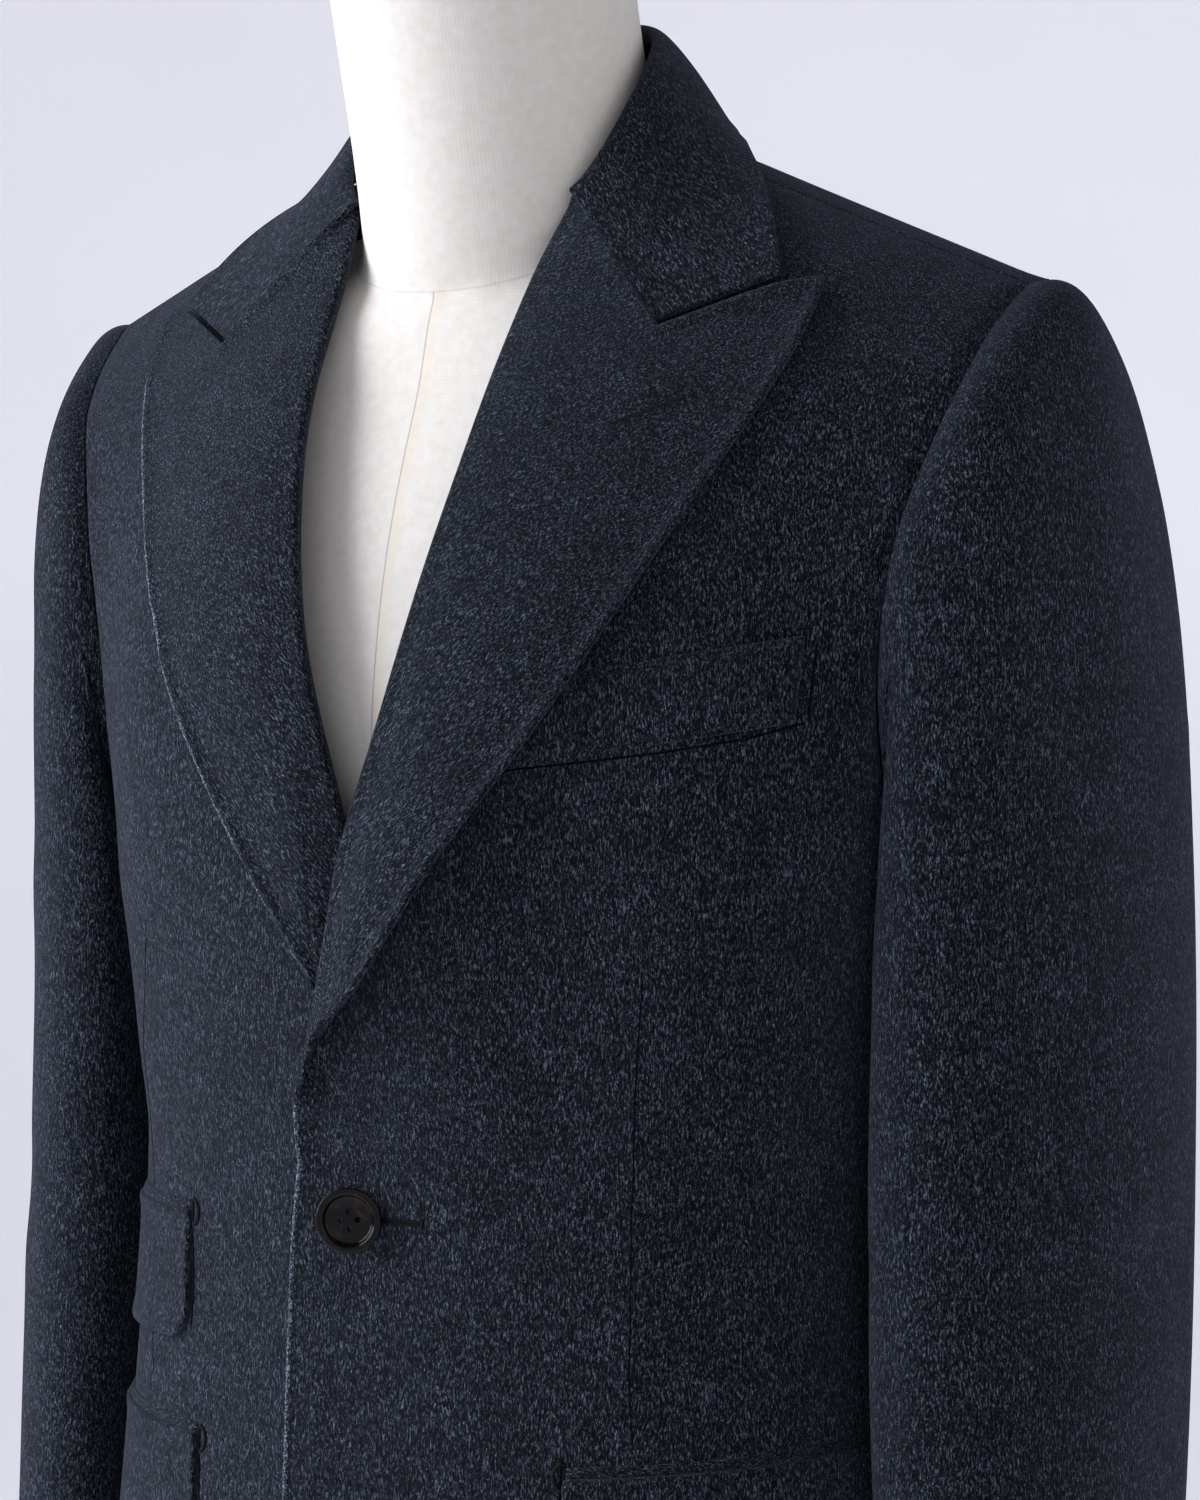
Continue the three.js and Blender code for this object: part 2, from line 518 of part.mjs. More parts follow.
function collarHalf(side) {
  return steps(COLLAR_ROWS).map((even) => {
    const share = even ** 1.15;
    const fold = collarAt(share, "fold");
    if (side < 0) fold.z -= COLLAR_DROP * smoothstep(share, 0, 0.25) * (1 - smoothstep(share, 0.4, 1));
    const edge = collarAt(share, "edge");
    const step = 0.01;
    const ahead = collarAt(Math.min(1, share + step), "fold");
    const along = ahead.sub(collarAt(Math.max(0, share - step), "fold"));
    if (share > 1 - step) along.set(-1, 0, 0);
    along.normalize();
    const reach = edge.clone().sub(fold);
    const crestWay = reach.addScaledVector(along, -reach.dot(along)).normalize().negate();
    const upWay = along.clone().cross(crestWay).normalize();
    const rolled = roll(fold, crestWay, upWay, COLLAR_RADIUS, ROLL_STEPS);
    const start = rolled[rolled.length - 1];
    const bend = 1 - smoothstep(share, 0, 0.2);
    const bulge = upWay.clone().multiplyScalar(COLLAR_BULGE * smoothstep(share, 0.05, 0.4));
    const fall = COLLAR_FALL.map((s) => {
      const p = start.clone().lerp(edge, s).addScaledVector(bulge, Math.sin(Math.PI * s ** 0.8));
      const kink =
        s < COLLAR_CORNER.share
          ? start.clone().lerp(COLLAR_CORNER, s / COLLAR_CORNER.share)
          : point(COLLAR_CORNER.x, COLLAR_CORNER.y, COLLAR_CORNER.z).lerp(
              edge,
              (s - COLLAR_CORNER.share) / (1 - COLLAR_CORNER.share),
            );
      return clearOfShoulder(p.lerp(kink, bend), FACED + 3 * LAID);
    });
    // The stand goes down inside the neckline.
    const depth = lerp(COLLAR_STAND.front, COLLAR_STAND.back, smoothstep(share, 0, 0.45));
    const foot = rolled[0].clone().addScaledVector(crestWay, -depth);
    foot.z = Math.max(foot.z, COLLAR_STAND.footZ);
    const stand = [foot, foot.clone().lerp(rolled[0], 0.5)];
    return [...stand, ...rolled, ...fall];
  });
}

function collarSkinRows() {
  const left = collarHalf(1);
  const right = collarHalf(-1)
    .slice(0, -1)
    .map((row) => row.map((p) => point(-p.x, p.y, p.z)));
  return [...left, ...right.reverse()];
}

// ---------------------------------------------------------------- sleeves
const sleeve = (z, column) => at(SLEEVE, "z", z, column);
const SLEEVE_LEVELS = [1165, 1115, 1060, 1000, 940, 870, 800];
const CAP_SHARES = [0, 0.07, 0.16, 0.28, 0.42, 0.58, 0.78];
const ROPE = 2.6; // the sleeve head stands up a little along the seam

// Distance of the trunk's side from the centre at a depth.
function trunkSide(y, z) {
  const back = y > 0;
  const square = trunk(z, back ? "backSquare" : "frontSquare");
  const share = Math.min(1, Math.abs(y) / trunk(z, back ? "back" : "front"));
  return trunk(z, "half") * (1 - share ** square) ** (1 / square);
}

// A level section of the sleeve: an oval turned in at the front and eased off the trunk.
function sleevePoint(angle, z) {
  const [sin, cos] = [Math.sin(SLEEVE_TURN), Math.cos(SLEEVE_TURN)];
  const out = sleeve(z, "short") * Math.cos(angle);
  const forward = sleeve(z, "long") * Math.sin(angle);
  const y = sleeve(z, "y") - sin * out - cos * forward;
  const x = sleeve(z, "x") + cos * out - sin * forward;
  const clear = trunkSide(y, z) + SLEEVE_CLEAR;
  const ease = 5;
  return point((x + clear + Math.sqrt((x - clear) ** 2 + ease ** 2)) / 2, y, z);
}

function sleeveRings(loop, angles) {
  const cap = CAP_SHARES.map((t) =>
    loop.map((from, k) => {
      const angle = angles[k];
      const high = (1 + Math.cos(angle)) / 2; // 1 at the shoulder, 0 under the arm
      const outWay = point(1, -0.42 * Math.sin(angle), 0.12 * Math.cos(angle)).normalize();
      const to = sleevePoint(angle, SLEEVE_LEVELS[0]);
      const start = from.clone().addScaledVector(outWay, SEAM);
      const p1 = start.clone().addScaledVector(outWay, lerp(6, 38, high ** 1.3));
      const p2 = to.clone().add(point(0, 0, lerp(8, 150, high ** 0.8)));
      const curve = new THREE.CubicBezierCurve3(start, p1, p2, to);
      const p = curve.getPoint(t);
      const rope = ROPE * high ** 1.5 * Math.sin(Math.PI * Math.min(1, t / 0.3)) ** 2;
      return p.add(point(0, -0.4 * rope * Math.sin(angle), rope * Math.max(0, Math.cos(angle))));
    }),
  );
  const level = SLEEVE_LEVELS.map((z) => angles.map((angle) => sleevePoint(angle, z)));
  return [...cap, ...level];
}

// ---------------------------------------------------------------- pockets
// Flap pockets: where the front end of the mouth lies, how far it runs round the body, and how it rises.
const POCKETS = [
  { name: "hip_left", side: 1, x: 89.5, z: 988.5, length: 155, rise: 0.08, drop: 58, corner: 12 },
  { name: "hip_right", side: -1, x: 86.5, z: 983, length: 155, rise: -0.02, drop: 58, corner: 12 },
  { name: "ticket_right", side: -1, x: 94.5, z: 1070, length: 88, rise: -0.05, drop: 49, corner: 12 },
];
const JET_HEIGHT = 5;
const JET_THICKNESS = 1.5;
const WELT = { innerX: 58, outerX: 165, innerZ: 1251, outerZ: 1271, height: 30.5, thickness: 1.8 };

// Points round the front at a height, a set distance along the cloth from a starting place.
function roundFront(side, x, z, distance) {
  const step = 0.004;
  let turn = turnOf(x, z);
  let left = distance;
  let p = trunkPoint(turn, z);
  while (left > 0) {
    const q = trunkPoint(turn + step, z);
    left -= q.distanceTo(p);
    turn += step;
    p = q;
  }
  p.y -= lap(side, p.x, z);
  return p;
}

function flapPocket({ side, x, z, length, rise, drop, corner }) {
  const ends = [0, 0.12, 0.35, 0.7, 1].map((s) => s * corner);
  const middle = steps(6, corner, length - corner).slice(1, -1);
  const places = [...ends, ...middle, ...[...ends].reverse().map((d) => length - d)];
  const row = (heightAt) => places.map((d) => roundFront(side, x, z + rise * d + heightAt(d), d));
  const rounding = (d) => {
    const near = Math.min(d, length - d, corner);
    return corner - Math.sqrt(corner ** 2 - (corner - near) ** 2);
  };
  const flapRows = [1, 0.75, 0.5, 0.25, 0].map((s) => row((d) => -(drop - rounding(d)) * s));
  const jetRows = [SEAM, JET_HEIGHT / 2, JET_HEIGHT].map((height) => row(() => height));
  return {
    jet: laidOn(jetRows, LAID, LAID + JET_THICKNESS),
    flap: laidOn(flapRows, LAID, LAID + CLOTH),
  };
}

function breastWelt() {
  const rows = steps(3).map((up) =>
    steps(7).map((s) => {
      const x = lerp(WELT.innerX, WELT.outerX + 2.5 * up, s);
      return laidFront(1, x, lerp(WELT.innerZ, WELT.outerZ, s) + WELT.height * up);
    }),
  );
  return laidOn(rows, 0.6 * LAID, 0.6 * LAID + WELT.thickness);
}

// ---------------------------------------------------------------- buttons
const wasm = await Module();
wasm.setup();
const BUTTON_SIDES = 24;
// Half section of a button, in shares of its radius and thickness:
// underside, edge, raised rim, then the well.
const BUTTON_SECTION = [
  { out: 0, up: 0 },
  { out: 0.72, up: 0 },
  { out: 0.97, up: 0.42 },
  { out: 1, up: 0.72 },
  { out: 0.93, up: 1 },
  { out: 0.8, up: 0.97 },
  { out: 0.66, up: 0.6 },
  { out: 0, up: 0.52 },
];
const HOLE = { radius: 1.15, fromMiddle: 2.9, sides: 8 };

// A solid for joining and cutting, from a geometry whose shared vertices are merged.
function asSolid(geometry) {
  geometry.deleteAttribute("normal");
  geometry.deleteAttribute("uv");
  const merged = mergeVertices(geometry, 1e-4);
  return new wasm.Manifold(
    new wasm.Mesh({
      numProp: 3,
      vertProperties: merged.getAttribute("position").array,
      triVerts: new Uint32Array(merged.getIndex().array),
    }),
  );
}

function asGeometry(solid) {
  const mesh = solid.getMesh();
  const geometry = new THREE.BufferGeometry();
  geometry.setAttribute("position", new THREE.BufferAttribute(mesh.vertProperties, 3));
  geometry.setIndex(new THREE.BufferAttribute(mesh.triVerts, 1));
  return geometry;
}

// A dished button with a raised rim and four holes, its face along +Y before it is turned to the front.
function buttonAt(z) {
  const radius = BUTTON.diameter / 2;
  const t = BUTTON.thickness;
  const profile = BUTTON_SECTION.map(({ out, up }) => new THREE.Vector2(out * radius, up * t));
  let body = asSolid(new THREE.LatheGeometry(profile, BUTTON_SIDES));
  for (const angle of [0, 90, 180, 270].map(degToRad)) {
    const hole = new THREE.CylinderGeometry(HOLE.radius, HOLE.radius, 3 * t, HOLE.sides);
    hole.translate(HOLE.fromMiddle * Math.cos(angle), 0, HOLE.fromMiddle * Math.sin(angle));
    body = body.subtract(asSolid(hole));
  }
  const geometry = asGeometry(body);
  geometry.rotateZ(Math.PI);
  const front = laidFront(1, 0, z);
  geometry.translate(0, front.y - BUTTON.stem, z);
  return geometry;
}

// ---------------------------------------------------------------- dress form and stand
const FORM_SIDES = 28;

const formRing = (squareness) => (row) => {
  const middle = (row.frontY + row.backY) / 2;
  const depth = (row.backY - row.frontY) / 2;
  return Array.from({ length: FORM_SIDES }, (_, i) => {
    const angle = (2 * Math.PI * i) / FORM_SIDES;
    const round = (v) => Math.sign(v) * Math.abs(v) ** (2 / squareness);
    const [side, ahead] = [round(Math.sin(angle)), -round(Math.cos(angle))];
    const z = lerp(row.frontZ, row.backZ, (1 + ahead) / 2) + row.lift * side ** 2;
    return point(row.half * side, middle + depth * ahead, z);
  });
};

// A solid through a stack of rings, closed by a flat fan at each end.
function stacked(rings) {
  const sides = rings[0].length;
  const middleOf = (ring) => ring.reduce((sum, p) => sum.add(p), point(0, 0, 0)).divideScalar(sides);
  const positions = [...rings.flat(), middleOf(rings[0]), middleOf(rings[rings.length - 1])];
  const [bottom, top] = [positions.length - 2, positions.length - 1];
  const last = (rings.length - 1) * sides;
  const index = [];
  for (let i = 0; i < sides; i++) {
    const next = (i + 1) % sides;
    for (let j = 0; j + 1 < rings.length; j++) {
      const [a, b] = [j * sides, (j + 1) * sides];
      index.push(a + i, a + next, b + next, a + i, b + next, b + i);
    }
    index.push(bottom, next, i, top, last + i, last + next);
  }
  const geometry = new THREE.BufferGeometry();
  const numbers = positions.flatMap((p) => p.toArray());
  geometry.setAttribute("position", new THREE.Float32BufferAttribute(numbers, 3));
  geometry.setIndex(index);
  return geometry;
}

function standPole() {
  const bottom = STAND.collarHeight + SEAM;
  const top = FORM[0].frontZ - SEAM;
  const pole = new THREE.CylinderGeometry(STAND.poleRadius, STAND.poleRadius, top - bottom, 24);
  return pole.rotateX(Math.PI / 2).translate(0, 0, (top + bottom) / 2);
}

function standBase() {
  const { baseRadius, baseHeight, baseRim, collarRadius, collarHeight } = STAND;
  const profile = [
    [0, 0],
    [baseRadius, 0],
    [baseRadius, baseHeight - baseRim],
    [baseRadius - 0.3 * baseRim, baseHeight - 0.3 * baseRim],
    [baseRadius - baseRim, baseHeight],
    [collarRadius + 6, baseHeight + 2],
    [collarRadius, baseHeight + 6],
    [collarRadius - 4, collarHeight],
    [0, collarHeight],
  ].map(([r, y]) => new THREE.Vector2(r, y));
  return new THREE.LatheGeometry(profile, 48).rotateX(Math.PI / 2);
}

// ---------------------------------------------------------------- assembly
const coat = new THREE.Group();
const melton = new THREE.MeshStandardMaterial({ color: GRAPHITE, roughness: 0.95, metalness: 0 });
const linen = new THREE.MeshStandardMaterial({ color: LINEN, roughness: 0.9, metalness: 0 });
const horn = new THREE.MeshStandardMaterial({ color: HORN, roughness: 0.35, metalness: 0 });
const steel = new THREE.MeshStandardMaterial({ color: STEEL, roughness: 0.35, metalness: 0.9 });

function add(name, geometry, material) {
  const mesh = new THREE.Mesh(geometry, material);
  mesh.name = name;
  coat.add(mesh);
  return mesh;
}
const pair = (name, left) => {
  add(name + "_left", left, melton);
  add(name + "_right", mirrored(left), melton);
};

const FRONTS = { left: frontSkinRows(1), right: frontSkinRows(-1) };
const BACK = backSkinRows();
const half = SEAM / 2;
const frontTrim = { right: half, top: SHOULDER_TRIM };
add("front_left", wall(trimmed(FRONTS.left, frontTrim), CLOTH), melton);
add("front_right", mirrored(wall(trimmed(FRONTS.right, frontTrim), CLOTH)), melton);
const backTrimmed = trimmed(BACK, { left: 2 * half, right: half, top: SHOULDER_TRIM });
pair("back", wall(backTrimmed.map((row) => [...row].reverse()), CLOTH));

add("lapel_left", wall(lapelSkinRows(1), FACED), melton);
add("lapel_right", mirrored(wall(lapelSkinRows(-1), FACED)), melton);
add("collar", wall(collarSkinRows(), FACED), melton);

// Sleeves: the rings start on the armhole's own points, from the shoulder seam down the front
// and up the back.
const lastOf = (rows) => rows.map((row) => row[row.length - 1]);
const underarm = ROWS_BELOW.length - 1;
const frontArmhole = lastOf(FRONTS.right).slice(underarm).reverse();
const backArmhole = lastOf(BACK).slice(underarm + 1, -1);
const armhole = [...frontArmhole, ...backArmhole];
function anglesAlong(points, from, to) {
  const lengths = [0];
  for (let i = 1; i < points.length; i++) lengths.push(lengths[i - 1] + points[i].distanceTo(points[i - 1]));
  return lengths.map((d) => lerp(from, to, d / lengths[points.length - 1]));
}
const seamAngle = 0.09; // the shoulder seam lies a little in front of the top of the sleeve
const frontAngles = anglesAlong(frontArmhole, seamAngle, Math.PI);
const backPath = [frontArmhole[frontArmhole.length - 1], ...backArmhole, frontArmhole[0]];
const backAngles = anglesAlong(backPath, Math.PI, 2 * Math.PI + seamAngle);
const rings = sleeveRings(armhole, [...frontAngles, ...backAngles.slice(1, -1)]);
const FRONT_SEAM = 12; // places round the armhole where the two halves of the sleeve are sewn
const BACK_SEAM = 22;
// The rings run down the arm, so their skin is turned over to face out.
const sleeveOuter = [...rings].reverse().map((row) => [...row].reverse());
const sleeveInner = skinBehind(sleeveOuter, CLOTH, true);
function sleeveStrip(from, to) {
  const count = (to - from + armhole.length) % armhole.length;
  const place = (i) => (2 * armhole.length - 1 - to + i) % armhole.length;
  const strip = (rows) => rows.map((row) => Array.from({ length: count + 1 }, (_, i) => row[place(i)]));
  const sides = { left: half, right: half };
  return solidBetween(trimmed(strip(sleeveOuter), sides), trimmed(strip(sleeveInner), sides));
}
pair("sleeve_under", sleeveStrip(FRONT_SEAM, BACK_SEAM));
pair("sleeve_top", sleeveStrip(BACK_SEAM, FRONT_SEAM));

// Pockets and buttons
add("breast_welt_left", breastWelt(), melton);
for (const pocket of POCKETS) {
  const { jet, flap } = flapPocket(pocket);
  const turned = pocket.side > 0 ? (geometry) => geometry : mirrored;
  add(pocket.name + "_jet", turned(jet), melton);
  add(pocket.name + "_flap", turned(flap), melton);
}
for (let i = 0; i < BUTTON.count; i++) {
  add("button_" + (i + 1), buttonAt(BUTTON.topZ - i * BUTTON.spacing), horn);
}

add("form_torso", stacked(FORM.map(formRing(FORM_SQUARE.torso))), linen);
add("form_neck", stacked(NECK.map(formRing(FORM_SQUARE.neck))), linen);
add("stand_pole", standPole(), steel);
add("stand_base", standBase(), steel);

export default coat;
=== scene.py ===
"""Single-breasted melton overcoat on a linen dress form with a steel stand, in a pale studio.

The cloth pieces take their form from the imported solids: each outer skin is smoothed, shaped with seams,
darts and soft folds, and given its thickness again. Buttons, stitching and tacks lie on top.
"""
import math
from typing import NamedTuple

import bmesh
import bpy
import numpy as np
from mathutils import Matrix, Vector
from mathutils.bvhtree import BVHTree
from mathutils.kdtree import KDTree


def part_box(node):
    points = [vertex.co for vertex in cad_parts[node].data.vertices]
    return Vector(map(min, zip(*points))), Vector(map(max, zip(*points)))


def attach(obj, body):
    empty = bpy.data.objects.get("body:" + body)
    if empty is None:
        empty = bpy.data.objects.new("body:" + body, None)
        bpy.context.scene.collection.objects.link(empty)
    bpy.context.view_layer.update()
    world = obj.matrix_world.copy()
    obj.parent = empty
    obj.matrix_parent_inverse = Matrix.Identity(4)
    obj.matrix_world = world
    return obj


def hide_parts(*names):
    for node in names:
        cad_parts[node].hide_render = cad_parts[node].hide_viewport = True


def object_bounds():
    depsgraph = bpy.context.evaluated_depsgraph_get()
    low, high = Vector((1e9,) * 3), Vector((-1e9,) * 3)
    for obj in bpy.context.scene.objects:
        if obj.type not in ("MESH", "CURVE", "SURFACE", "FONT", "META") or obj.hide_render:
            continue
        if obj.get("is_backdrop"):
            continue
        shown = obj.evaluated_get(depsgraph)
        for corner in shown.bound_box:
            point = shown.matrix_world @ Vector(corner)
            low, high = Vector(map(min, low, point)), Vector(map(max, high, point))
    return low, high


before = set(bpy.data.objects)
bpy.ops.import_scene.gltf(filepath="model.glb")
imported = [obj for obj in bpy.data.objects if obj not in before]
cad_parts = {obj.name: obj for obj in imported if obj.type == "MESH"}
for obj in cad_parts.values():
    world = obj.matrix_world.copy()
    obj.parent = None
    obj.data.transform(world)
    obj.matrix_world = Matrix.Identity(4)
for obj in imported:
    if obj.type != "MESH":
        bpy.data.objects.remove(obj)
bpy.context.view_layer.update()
MM = 0.001


# ------------------------ materials
def linear(colour):
    """An sRGB hex colour as linear RGBA."""
    parts = [int(colour[i : i + 2], 16) / 255 for i in (1, 3, 5)]
    return [*(c / 12.92 if c <= 0.04045 else ((c + 0.055) / 1.055) ** 2.4 for c in parts), 1.0]


def add_node(tree, kind, inputs=None, ramp=None, **settings):
    """Adds a node; inputs maps a socket's name or number to a value or to another node's output."""
    made = tree.nodes.new(kind)
    for key, value in settings.items():
        setattr(made, key, value)
    for key, value in (inputs or {}).items():
        if isinstance(value, bpy.types.NodeSocket):
            tree.links.new(value, made.inputs[key])
        else:
            made.inputs[key].default_value = value
    if ramp:
        stops = made.color_ramp.elements
        while len(stops) < len(ramp):
            stops.new(1.0)
        for stop, (place, colour) in zip(stops, ramp):
            stop.position = place
            stop.color = colour
    return made


def new_material(name):
    """A new material, its node tree and its Principled shader."""
    made = bpy.data.materials.new(name)
    made.use_nodes = True
    return made, made.node_tree, made.node_tree.nodes["Principled BSDF"]


def set_sockets(shader, roughness, specular, **more):
    """Sets the constants of a shader; more names its other sockets, with _ for a space."""
    values = {key.replace("_", " "): value for key, value in more.items()}
    for socket, value in {"Roughness": roughness, "Specular IOR Level": specular, **values}.items():
        shader.inputs[socket].default_value = value


def object_place(tree):
    """The place on the object, in metres."""
    return add_node(tree, "ShaderNodeTexCoord").outputs["Object"]


def noise(tree, place, scale, detail, **more):
    """Noise over a place: its values lie mostly between 0.3 and 0.7."""
    inputs = {"Vector": place, "Scale": scale, "Detail": detail, **more}
    return add_node(tree, "ShaderNodeTexNoise", inputs).outputs["Fac"]


def tones(tree, value, *stops):
    """A ramp of colours over a value: each stop is its place and an sRGB hex colour."""
    ramp = [(place, linear(colour)) for place, colour in stops]
    return add_node(tree, "ShaderNodeValToRGB", {"Fac": value}, ramp=ramp).outputs["Color"]


def map_range(tree, value, source, target, **settings):
    """A value taken from one range (low, high) to another."""
    ends = dict(zip(("From Min", "From Max", "To Min", "To Max"), (*source, *target)))
    return add_node(tree, "ShaderNodeMapRange", {"Value": value, **ends}, **settings).outputs["Result"]


def blend(tree, share, first, second):
    """The first colour where share is 0, and the second, an sRGB hex colour, where it is 1."""
    inputs = {"Factor": share, 6: first, 7: linear(second)}
    return add_node(tree, "ShaderNodeMix", inputs, data_type="RGBA").outputs[2]


def join_bump(tree, shader, height, strength, distance):
    """Bumps a shader's normal; distance is in millimetres."""
    inputs = {"Height": height, "Strength": strength, "Distance": distance * MM}
    tree.links.new(add_node(tree, "ShaderNodeBump", inputs).outputs["Normal"], shader.inputs["Normal"])


def wool_melton():
    """Milled woollen melton with a brushed nap: fibres of several greys lie one way, in soft streaks."""
    made, tree, shader = new_material("wool_melton")
    # The lay attribute gives two ways across the nap and the way along it, in metres.
    lay = add_node(tree, "ShaderNodeAttribute", attribute_name="lay").outputs["Vector"]
    # The nap leans this way and that over 8 mm or so.
    wander = add_node(tree, "ShaderNodeTexNoise", {"Vector": lay, "Scale": 120.0, "Detail": 1.0})

    def lying_fibres(across, along, sway, detail, roughness):
        """Noise drawn out along the grain: fibres per metre across and along it, and how far they sway."""
        laid = add_node(tree, "ShaderNodeMapping", {"Vector": lay, "Scale": (across, across, along)})
        bent = add_node(
            tree,
            "ShaderNodeVectorMath",
            {0: wander.outputs["Color"], 1: (sway, sway, 0.4 * sway), 2: laid.outputs["Vector"]},
            operation="MULTIPLY_ADD",
        )
        return noise(tree, bent.outputs["Vector"], 1.0, detail, Roughness=roughness)

    # Tufts of nap are 0.4 to 0.8 mm wide and about four times as long.
    nap = lying_fibres(1550, 410, 2.6, 4.0, 0.75)
    cloth_tone = tones(tree, nap, (0.38, "#010202"), (0.47, "#080a0d"), (0.55, "#191d25"), (0.66, "#5e6878"))
    # Single pale kemp fibres, 0.3 mm wide, that stand out of the nap.
    kemp = lying_fibres(2900, 700, 4.2, 1.0, 0.5)
    kemp_mask = map_range(tree, kemp, (0.64, 0.8), (0.0, 0.5), interpolation_type="SMOOTHSTEP")
    # The blend of dark and light wool drifts over a few centimetres.
    drift = noise(tree, lay, 60.0, 3.0)
    shade = map_range(tree, drift, (0.3, 0.7), (0.8, 1.18))
    heather = blend(tree, kemp_mask, cloth_tone, "#a3abb6")
    shaded = add_node(tree, "ShaderNodeVectorMath", {0: heather, "Scale": shade}, operation="SCALE")
    tree.links.new(shaded.outputs["Vector"], shader.inputs["Base Color"])
    join_bump(tree, shader, nap, 1.0, 0.9)
    set_sockets(shader, 0.9, 0.05, Sheen_Weight=0.17, Sheen_Roughness=0.4, Sheen_Tint=linear("#b4c0d8"))
    return made


def painted_seam_shade():
    """Painted shade: a nearly black melton for narrow cords laid along seams and edges, where shade falls in
    the cloth.
    """
    made, tree, shader = new_material("wool_melton_painted_shade")
    fibre = noise(tree, object_place(tree), 1100.0, 2.0)
    tree.links.new(tones(tree, fibre, (0.4, "#06070a"), (0.66, "#101318")), shader.inputs["Base Color"])
    set_sockets(shader, 1.0, 0.0)
    return made


def painted_edge_highlight():
    """Painted highlight: a lighter melton with more sheen, for cords along turned edges where the light
    catches them.
    """
    made, tree, shader = new_material("wool_melton_painted_highlight")
    # Tufts 0.8 mm wide, as on the cloth.
    fibre = noise(tree, object_place(tree), 1200.0, 3.0)
    tone = tones(tree, fibre, (0.36, "#14171c"), (0.52, "#343b46"), (0.68, "#8590a2"))
    tree.links.new(tone, shader.inputs["Base Color"])
    join_bump(tree, shader, fibre, 0.8, 0.8)
    set_sockets(shader, 0.95, 0.05, Sheen_Weight=0.3, Sheen_Roughness=0.4)
    return made


def silk_twist(name, dark, light):
    """Waxed buttonhole twist: a thread with little gloss, laid in close satin stitches."""
    made, tree, shader = new_material(name)
    # Stitches lie 0.8 mm apart.
    twist = noise(tree, object_place(tree), 1300.0, 1.0)
    tree.links.new(tones(tree, twist, (0.35, dark), (0.7, light)), shader.inputs["Base Color"])
    join_bump(tree, shader, twist, 0.6, 0.3)
    set_sockets(shader, 0.85, 0.15)
    return made


def buffalo_horn():
    """Turned and polished buffalo horn: nearly black, with brown clouds and fine pale growth lines."""
    made, tree, shader = new_material("buffalo_horn")
    place = object_place(tree)
    clouds = noise(tree, place, 120.0, 3.0, Distortion=1.2)
    tone = tones(tree, clouds, (0.42, "#040404"), (0.62, "#0a0807"), (0.84, "#2c1b11"))
    # Fine growth lines run across the blank.
    across_blank = {"Vector": place, "Rotation": (0, 0.6, 0), "Scale": (90, 90, 900)}
    stretched = add_node(tree, "ShaderNodeMapping", across_blank).outputs["Vector"]
    line_mask = map_range(tree, noise(tree, stretched, 1.0, 2.0), (0.7, 0.82), (0.0, 0.22))
    tree.links.new(blend(tree, line_mask, tone, "#8c7a5e"), shader.inputs["Base Color"])
    set_sockets(shader, 0.15, 0.16, IOR=1.54)
    return made


SEAM_HALF = 0.35 * MM  # half the width of a seam in the linen
TURNING = 2.4 * MM, 2.2 * MM  # the front seam's turning: the middle of its width, and half of it
NECK_SEAM_RISE = 65 / 117  # the neck seam lies in a plane that rises from the front to the back
NECK_SEAM_FOOT = (1433 + 82 * NECK_SEAM_RISE) * MM  # its height where y is 0


def natural_linen():
    """Plain-woven linen stretched over the form: off-white, matt, with uneven yarns and two fine seams."""
    made, tree, shader = new_material("natural_linen")
    place = object_place(tree)

    def math_node(operation, a, b=0.0, c=0.0):
        return add_node(tree, "ShaderNodeMath", {0: a, 1: b, 2: c}, operation=operation).outputs["Value"]

    def yarns(direction):
        """Yarns lie 0.7 mm apart."""
        inputs = {"Vector": place, "Scale": 225.0, "Distortion": 0.6, "Detail": 2.0}
        bands = {"wave_type": "BANDS", "bands_direction": direction}
        return add_node(tree, "ShaderNodeTexWave", inputs, **bands).outputs["Fac"]

    weave = math_node("ADD", yarns("X"), yarns("Z"))
    tone = tones(tree, noise(tree, place, 240.0, 4.0), (0.3, "#d0ccc3"), (0.7, "#d8d4cc"))
    spot = add_node(tree, "ShaderNodeSeparateXYZ", {"Vector": place}).outputs
    level = math_node("MULTIPLY_ADD", spot["Y"], -NECK_SEAM_RISE, spot["Z"])
    over_neck_seam = math_node("SUBTRACT", level, NECK_SEAM_FOOT)
    in_front = math_node("LESS_THAN", spot["Y"])
    on_torso_front = math_node("MULTIPLY", math_node("LESS_THAN", over_neck_seam), in_front)
    # The seams are drawn as darker lines, and the front seam has its turning on one side.
    neck_line = math_node("LESS_THAN", math_node("ABSOLUTE", over_neck_seam), SEAM_HALF)
    near_front_seam = math_node("LESS_THAN", math_node("ABSOLUTE", spot["X"]), SEAM_HALF)
    front_line = math_node("MULTIPLY", near_front_seam, on_torso_front)
    turning = math_node("MULTIPLY", math_node("COMPARE", spot["X"], *TURNING), on_torso_front)
    creamy = blend(tree, math_node("MULTIPLY", turning, 0.35), tone, "#d8cbb2")
    seam_darkening = math_node("MULTIPLY_ADD", front_line, 0.5, math_node("MULTIPLY", neck_line, 0.2))
    tree.links.new(blend(tree, seam_darkening, creamy, "#857a66"), shader.inputs["Base Color"])
    join_bump(tree, shader, weave, 0.22, 0.1)
    set_sockets(shader, 0.88, 0.2, Sheen_Weight=0.1)
    return made


